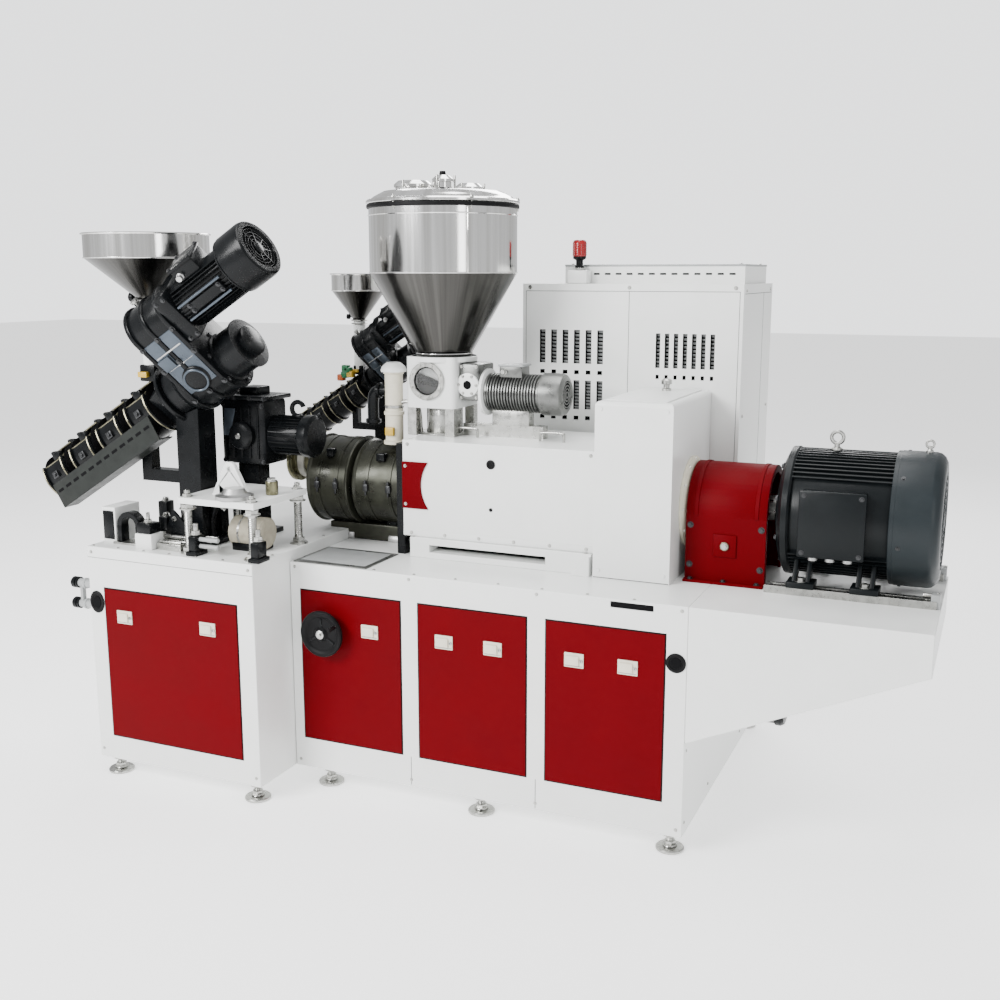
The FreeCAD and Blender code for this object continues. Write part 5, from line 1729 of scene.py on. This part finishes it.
@dataclass
class SideDrive:
    """Compact black gear unit with its motor, on a pedestal beside the barrel's tip."""

    x: float = -1636.0
    y: tuple[float, float] = (-306.0, -176.0)
    z: tuple[float, float] = (1030.0, 1246.0)

    def build(self) -> None:
        """Builds the unit and its pedestal's fittings."""
        dress("side_drive_pedestal", BLACK, 2.0)
        x, (y0, y1), (z0, z1) = self.x, self.y, self.z
        ym, zm = (y0 + y1) / 2, 1128.0
        mesh = Maker(BLACK)
        mesh.block((x, x + 176), (y0, y1), (z0, z1), 14)
        mesh.block((x - 8, x + 190), (y0 - 8, y1 + 8), (z1 - 1, z1 + 14), 4)
        for k in range(5):
            mesh.block((x + 16 + 32 * k, x + 23 + 32 * k), (y0 - 5, y0 + 2), (z0 + 22, z1 - 22), 2)
        mesh.use(FACE_BLUE).prism(
            [(x + 20, z1 - 30), (x + 64, z1 - 30), (x + 40, z0 + 96), (x + 14, z0 + 96)], "xz", y0 - 7,
            y0 - 3, 1)
        mesh.use(BLACK).lathe([(46, 0), (46, 16), (40, 24), (24, 28)], (x + 88, y0, zm), FRONT, 40)
        mesh.use(STEEL).nut((x + 88, y0 - 26, zm), FRONT, 10, 8)
        mesh.use(BLACK).rod((x + 174, ym, zm), RIGHT, 58, 130, 4, 40)
        mesh.lathe([(68, 120), (70, 124), (70, 150), (58, 158)], (x + 174, ym, zm), RIGHT, 40)
        mesh.torus((x + 262, ym, zm + 88), FRONT, 23, 8, 32, 280, 20)
        mesh.block((x + 250, x + 276), about(ym, 10), (zm + 50, zm + 70), 3)
        mesh.block((x + 60, x + 130), about(ym, 40), (z1 + 12, z1 + 40), 5)
        mesh.use(STEEL).rod((x + 30, ym, z1 + 12), UP, 12, 18, 2, 24)
        mesh.piece("side_drive_cast", "drive_black", "side_drive")
        FINS.run("side_drive_fins", "drive_black", BLACK,
                 {"Count": 24, "Radius": 60.0, "Start": 0.0, "Step": tau / 24, "Length": 104.0,
                  "Thickness": 2.6, "Height": 12.0}, placed((x + 236, ym, zm)))
        spots = [((a, y0 - 8, z1 + 6), FRONT) for a in (x + 4, x + 60, x + 122, x + 178)]
        spots += [((a, y0, b), FRONT) for a in (x + 12, x + 164) for b in (z0 + 12, z1 - 20)]
        screws("side_drive_bolts", "shaft_steel", BOLT_BLACK, spots, 6, 6)


class Unit(Enum):
    """The two co-extruders: name, place and scale."""

    LARGE = ("coex_large", (-1712.0, -420.0, 1268.0), 1.0)
    SMALL = ("coex_small", (-1385.0, 290.0, 1262.0), 0.62)


@dataclass
class CoExtruder:
    """Inclined single-screw unit; its own X runs up the barrel from 0 at the feed throat."""

    unit: Unit
    incline: float = 31.5
    turn: float = 34.0
    centres: float = 212.0

    def __post_init__(self) -> None:
        """Works out the frames of the barrel and of the turned drive."""
        self.name, self.spot, self.size = self.unit.value
        self.line = (Matrix.Translation(self.spot) @ Matrix.Rotation(radians(-self.incline), 4, "Y")
                     @ Matrix.Scale(self.size, 4))
        self.drive = self.line @ Matrix.Rotation(radians(self.turn), 4, "X")

    def build(self) -> None:
        """Builds the barrel, gear unit, motor, hopper and the stand's fittings."""
        self.build_barrel()
        self.build_gear()
        self.build_motor()
        self.build_hopper()
        dress(self.name + "_stand", BLACK, 1.5)

    def build_barrel(self) -> None:
        """Builds the barrel with its open-topped cooling shrouds and their raised lips."""
        mesh = Maker(STEEL, self.line)
        mesh.lathe(
            [(16, -648), (18, -646), (24, -640), (24, -626), (38, -612), (38, -46)], (0, 0, 0), RIGHT, 36)
        for start in (-590, -448, -306, -164):
            mesh.use(OLIVE).lathe(
                [(38, 0), (64, 0), (67, 3), (67, 93), (64, 96), (38, 96)], (start + 4, 0, 0), RIGHT, 44,
                closed=True)
            mesh.use(BRONZE).ring((start + 30, 0, 0), RIGHT, 70, 66, 12, 1, 44)
            mesh.ring((start + 64, 0, 0), RIGHT, 70, 66, 12, 1, 44)
            mesh.use(BLACK).ring((start + 3, 0, 0), RIGHT, 88, 84, 98, 1.5, 56, 306, 152)
            for offset in (0, 92):
                mesh.use(BLACK).ring((start + offset, 0, 0), RIGHT, 97, 70, 12, 3, 60, 306, 152)
                mesh.use(BRONZE).torus((start + offset + 6, 0, 0), RIGHT, 95, 3.6, 60, 300, 155, 8)
            for edge in (152, 98):
                spot = (start + 2, 86 * cos(radians(edge)), 86 * sin(radians(edge)))
                mesh.use(BRONZE).rod(spot, RIGHT, 3.2, 100, 1, 12)
            mesh.use(BLACK).block((start + 36, start + 68), (-52, -28), (52, 76), 3)
            mesh.use(BOLT_BLACK).block((start + 40, start + 64), (-96, -84), (-14, 10), 2)
            mesh.nut((start + 52, -96, -2), FRONT, 7, 6)
            # painted shade on each shroud's end faces, so the solid drum looks hollow
            for end in (start - 0.4, start + 103.4):
                mesh.use(SHADOW).ring((end, 0, 0), RIGHT, 83, 39, 1, 0.2, 48)
        mesh.use(STEEL).nut((-606, 0, 36), UP, 9, 10)
        mesh.piece(self.name + "_barrel_shrouded", "coex_barrel", self.name + "_barrel")
        if self.unit is Unit.LARGE:
            dress("coex_large_tray", TRAY_GREY, 1.0)
            # dark bars paint the shade inside the tray's slots
            BARS.run(
                "tray_slots", "tray_grey", SHADOW, {"Count": 12, "Step": (40.0, 0.0, 0.0),
                "Size": (24.0, 1.4, 9.0)}, DRAWING @ self.line @ Matrix.Translation((-536, -106.2, -60)))

    def build_gear(self) -> None:
        """Builds the flanged bell, the offset gear case with its face plate, and the thrust housing."""
        c = self.centres
        mesh = Maker(BLACK, self.drive)
        mesh.block((-50, 0), (-66, 66), (-62, 62), 5)
        mesh.lathe([(102, 0), (104, 2), (104, 12), (102, 14)], (0, 0, 0), RIGHT, 56)
        mesh.lathe([(82, 13), (88, 20), (88, 60), (100, 78), (100, 91)], (0, 0, 0), RIGHT, 56)
        outline = []
        for centre, radius, first in ((0.0, 98.0, 190), (c, 86.0, 10)):
            for k in range(17):
                a = radians(first + 10 * k)
                outline.append((radius * cos(a), centre + radius * sin(a)))
        grown = [(y * 1.065, c / 2 + (z - c / 2) * 1.035) for y, z in outline]
        mesh.prism(outline, "yz", 94, 236, 2)
        for x in (90, 158, 226):
            mesh.prism(grown, "yz", x, x + 14, 3)
        mesh.use(FACE_BLUE).prism(
            [(y * 0.9, c / 2 + (z - c / 2) * 0.93) for y, z in outline], "yz", 84, 91, 2)
        mesh.use(BLACK).lathe([(54, 0), (54, 8), (42, 14)], (86, 0, c), LEFT, 40)
        mesh.use(BLACK).lathe(
            [(84, 238), (84, 246), (78, 250), (78, 322), (84, 326), (84, 332), (50, 334), (50, 350),
            (42, 354)], (0, 0, 0), RIGHT, 48)
        mesh.lathe([(46, 0), (46, 8), (40, 14), (24, 18)], (165, -92, 34), FRONT, 40)
        mesh.use(FACE_BLUE).ring((165, -100, 34), FRONT, 41, 34, 10, 1.5, 40)
        mesh.use(SILVER)
        for z in (96, 150):
            mesh.block((112, 218), (-95, -88), (z, z + 5), 1)
        mesh.use(FACE_BLUE)
        for x in (106, 174):
            mesh.prism([(-100, 4), (-90, 4), (-80, c - 8), (-89.5, c - 8)], "yz", x, x + 50, 2)
        mesh.block((108, 154), (-104, -84), (104, 146), 2)
        mesh.use(STEEL).lathe([(10, 0), (10, 12), (15, 14), (15, 22), (0, 24)], (130, 30, c + 80), UP, 20)
        mesh.piece(self.name + "_gear_cast", "drive_black", self.name + "_gear_unit")
        spots = circle_spots((0, 0, 0), LEFT, 92, 10, 18) + circle_spots((240, 0, 0), RIGHT, 91, 6, 200)
        spots += [
            ((x, -y * 1.05, z), FRONT) for x in (97, 165, 233) for y, z in ((96, -20), (92, 110), (86, 200))]
        spots += circle_spots((84, 0, c), LEFT, 68, 6)
        screws(self.name + "_gear_bolts", "shaft_steel", BOLT_BLACK, spots, 7, 6, self.drive)

    def build_motor(self) -> None:
        """Builds the ribbed motor with its cowl, recessed fan end and terminal box."""
        c = self.centres
        mesh = Maker(BLACK, self.drive)
        mesh.block((239, 290), (-84, 84), about(c, 84), 8)
        mesh.rod((289, 0, c), RIGHT, 74, 217, 2, 56)
        mesh.lathe([(86, 500), (92, 506), (92, 584), (89, 595), (82, 600), (70, 600), (67, 590)],
                (0, 0, c), RIGHT, 64)
        mesh.ring((591, 0, c), RIGHT, 86, 70, 9, 2.5, 64)
        # painted shade inside the recessed fan end
        mesh.use(SHADOW).lathe([(69, 589), (69, 591)], (0, 0, c), RIGHT, 40)
        mesh.use(BLACK)
        for k in range(5):
            mesh.torus((593, 0, c), RIGHT, 16 + 12 * k, 2.2, 40, rounds=6)
        for k in range(4):
            mesh.block((592, 595), (-2, 2), (-68, 68), 0.6,
                    Matrix.Translation((0, 0, c)) @ Matrix.Rotation(pi * k / 4, 4, "X"))
        mesh.lathe([(20, 590), (20, 597), (14, 599)], (0, 0, c), RIGHT, 28)
        mesh.block((340, 430), (-44, 44), (c + 60, c + 110), 6)
        mesh.block((336, 434), (-48, 48), (c + 106, c + 118), 4)
        mesh.ring((496, 0, c), RIGHT, 90, 80, 6, 1.2, 64)
        mesh.use(SILVER).lathe([(12, 0), (12, 6), (9, 8), (9, 20)], (362, -44, c + 84), FRONT, 20)
        for z in (-30, 22):
            mesh.use(FACE_BLUE).block((302, 482), (-93, -84), (c + z, c + z + 7), 2)
        mesh.use(BLACK).block((330, 470), (-92, -70), about(c, 16), 4)
        mesh.piece(self.name + "_motor_cowled", "drive_black", self.name + "_motor")
        FINS.run(
            self.name + "_motor_ribs", "drive_black", BLACK,
            {"Count": 30, "Radius": 76.0, "Start": 2.25, "Step": 0.158, "Length": 200.0, "Thickness": 3.0,
            "Height": 15.0}, DRAWING @ self.drive @ Matrix.Translation((396, 0, c)))
        spots = [((x, -84, z), FRONT) for x in (250, 280) for z in about(c, 70)]
        spots += [((x, y, c + 118), UP) for x in (344, 426) for y in (-40, 40)]
        spots += [((x, -92, c + z), FRONT) for x in (338, 462) for z in (-10, 10)]
        screws(self.name + "_motor_bolts", "shaft_steel", BOLT_BLACK, spots, 5.5, 5, self.drive)

    def build_hopper(self) -> None:
        """Builds the upright hopper with its bright band, valve, clear tube and coloured plugs."""
        s = self.size
        x0, y0, z0 = self.spot
        x = x0 - 96 * s
        outlet = z0 + 300 * s ** 0.6
        shoulder = outlet + 134 * s ** 0.5
        rim, radius = shoulder + 76 * s ** 0.5, 196 * s ** 1.45
        spout = 26 * s + 6
        # band and cone are one stainless steel: the band's brightness is a painted bright reflection, the
        # cone's darkness a painted dark reflection
        band = polished(self.name + "_polished_band", x, y0, 0.80, 0.13, 0.35)
        cone = polished(self.name + "_polished_cone", x, y0, 0.05, 0.22, 0.6)
        mesh = Maker(band)
        mesh.lathe(
            [(radius, shoulder), (radius, rim - 3), (radius + 5, rim - 2), (radius + 5, rim),
            (radius - 2.5, rim), (radius - 2.5, shoulder)], (x, y0, 0), UP, 72, closed=True)
        mesh.torus((x, y0, rim - 2), UP, radius + 3, 3, 72, rounds=8)
        mesh.torus((x, y0, shoulder), UP, radius, 2.2, 72, rounds=8)
        mesh.use(cone).lathe(
            [(spout, outlet), (radius, shoulder), (radius - 2.5, shoulder), (spout - 2.5, outlet)],
            (x, y0, 0), UP, 72, closed=True)
        mesh.use(STEEL).ring((x, y0, outlet - 6), UP, spout + 12 * s, spout - 3, 10 * s, 1.5, 36)
        mesh.ring((x, y0, outlet - 18 * s - 6), UP, spout + 12 * s, spout - 3, 8 * s, 1.5, 36)
        tube = z0 + 70 * s
        mesh.use(WHITE).lathe(
            [(spout - 4, tube), (spout, tube + 2), (spout, outlet - 8), (spout - 4, outlet - 6)], (x, y0, 0),
            UP, 32)
        mesh.use(BLACK).block(about(x, 30 * s), about(y0, 34 * s), (tube - 30 * s, tube + 24 * s), 4 * s)
        mesh.lathe([(5 * s, 0), (5 * s, 26 * s), (15 * s, 30 * s), (16 * s, 44 * s), (0, 46 * s)],
                (x - spout, y0, outlet + 10), LEFT, 24)
        mesh.use(YELLOW).block(
            (x - 26 * s, x + 10 * s), (y0 - 50 * s, y0 - 34 * s), (tube - 16 * s, tube + 2 * s), 2 * s)
        mesh.use(STEEL).rod((x - 34 * s, y0, z0 + 40 * s), UP, 5 * s, 60 * s, 1, 14)
        if self.unit is Unit.SMALL:
            for k, (dx, dz) in enumerate(((-70, 40), (-46, 66), (-96, 22), (-64, 78), (-30, 44))):
                mesh.use((GREEN, GREEN, ORANGE, GREEN, YELLOW)[k]).block(
                    about(x + dx * s, 13), (y0 - 62 * s - 12, y0 - 62 * s + 14), about(z0 + dz * s, 12), 4)
        mesh.piece(self.name + "_hopper_polished", "stainless", self.name + "_hopper")


@dataclass
class Studio:
    """Pale floor, soft lights and the camera."""

    azimuth: float = 23.5
    elevation: float = 11.0
    distance: float = 3.9
    lens: float = 42.0
    aim: tuple[float, float, float] = (0.05, 0.0, 0.91)
    ambient: float = 0.75
    backdrop: float = 2.3
    floor_glow: float = 0.9

    def softbox(self, name: str, place: Point, size: tuple[float, float], power: float) -> None:
        """Adds an area light that faces the machine.

        Args:
            name: the light's name.
            place: its place, in metres.
            size: width and height, in metres.
            power: in watts.
        """
        lamp = bpy.data.lights.new(name, "AREA")
        lamp.shape = "RECTANGLE"
        lamp.size, lamp.size_y = size
        lamp.energy = power
        light = bpy.data.objects.new(name, lamp)
        light.location = place
        light.rotation_euler = (Vector(self.aim) - Vector(place)).to_track_quat("-Z", "Y").to_euler()
        show(light)

    def build(self) -> None:
        """Builds the floor, world, lights and camera."""
        floor_mesh = bpy.data.meshes.new("floor")
        reach = 30.0
        floor_mesh.from_pydata(
            [(-reach, -reach, 0), (reach, -reach, 0), (reach, reach, 0), (-reach, reach, 0)], [],
            [(0, 1, 2, 3)])
        floor = bpy.data.objects.new("floor", floor_mesh)
        floor_mesh.materials.append(
            Finish("pale_floor", (0.90, 0.90, 0.90), 0.7, mottle=0.01, patch=1.5, grain=0.01, relief=0.01,
            gleam=0.1, glow=self.floor_glow).material())
        show(floor)
        world = bpy.data.worlds.new("studio")
        world.use_nodes = True
        sky = Wiring(world.node_tree)
        seen = sky.add("ShaderNodeLightPath", {}).outputs["Is Camera Ray"]
        strength = sky.add("ShaderNodeMapRange", {0: seen, 3: self.ambient, 4: self.backdrop}).outputs[0]
        background = world.node_tree.nodes["Background"]
        background.inputs[0].default_value = (0.98, 0.99, 1.0, 1.0)
        world.node_tree.links.new(strength, background.inputs[1])
        bpy.context.scene.world = world
        self.softbox("key", (-2.4, -4.8, 3.6), (2.6, 2.2), 520)
        self.softbox("fill", (4.8, -3.6, 2.6), (1.2, 3.2), 60)
        self.softbox("back", (-1.0, 4.6, 3.8), (4.0, 1.6), 230)
        self.softbox("top", (0.3, 0.0, 5.2), (4.0, 2.2), 190)
        a, e = radians(self.azimuth), radians(self.elevation)
        camera = bpy.data.cameras.new("camera")
        camera.lens = self.lens
        viewer = bpy.data.objects.new("camera", camera)
        viewer.location = Vector(self.aim) + self.distance * Vector(
            (sin(a) * cos(e), -cos(a) * cos(e), sin(e)))
        viewer.rotation_euler = (Vector(self.aim) - viewer.location).to_track_quat("-Z", "Y").to_euler()
        show(viewer)
        bpy.context.scene.camera = viewer


def main() -> None:
    """Builds the studio and every sub-assembly."""
    logging.basicConfig(level=logging.INFO, format="%(name)s: %(message)s")
    Studio().build()
    for assembly in (
            Base(), Handwheel(), MotorPlatform(), MainMotor(), CouplingGuard(), GearHousing(), BarrelLine(),
            BarrelCover(), MainHopper(), Feeder(), VentStack(), Cabinet(), DieCabinet(), DiePlatform(),
            SideDrive(), CoExtruder(Unit.LARGE), CoExtruder(Unit.SMALL)):
        assembly.build()
        log.info("%s done", type(assembly).__name__)


if __name__ == "__main__":
    main()
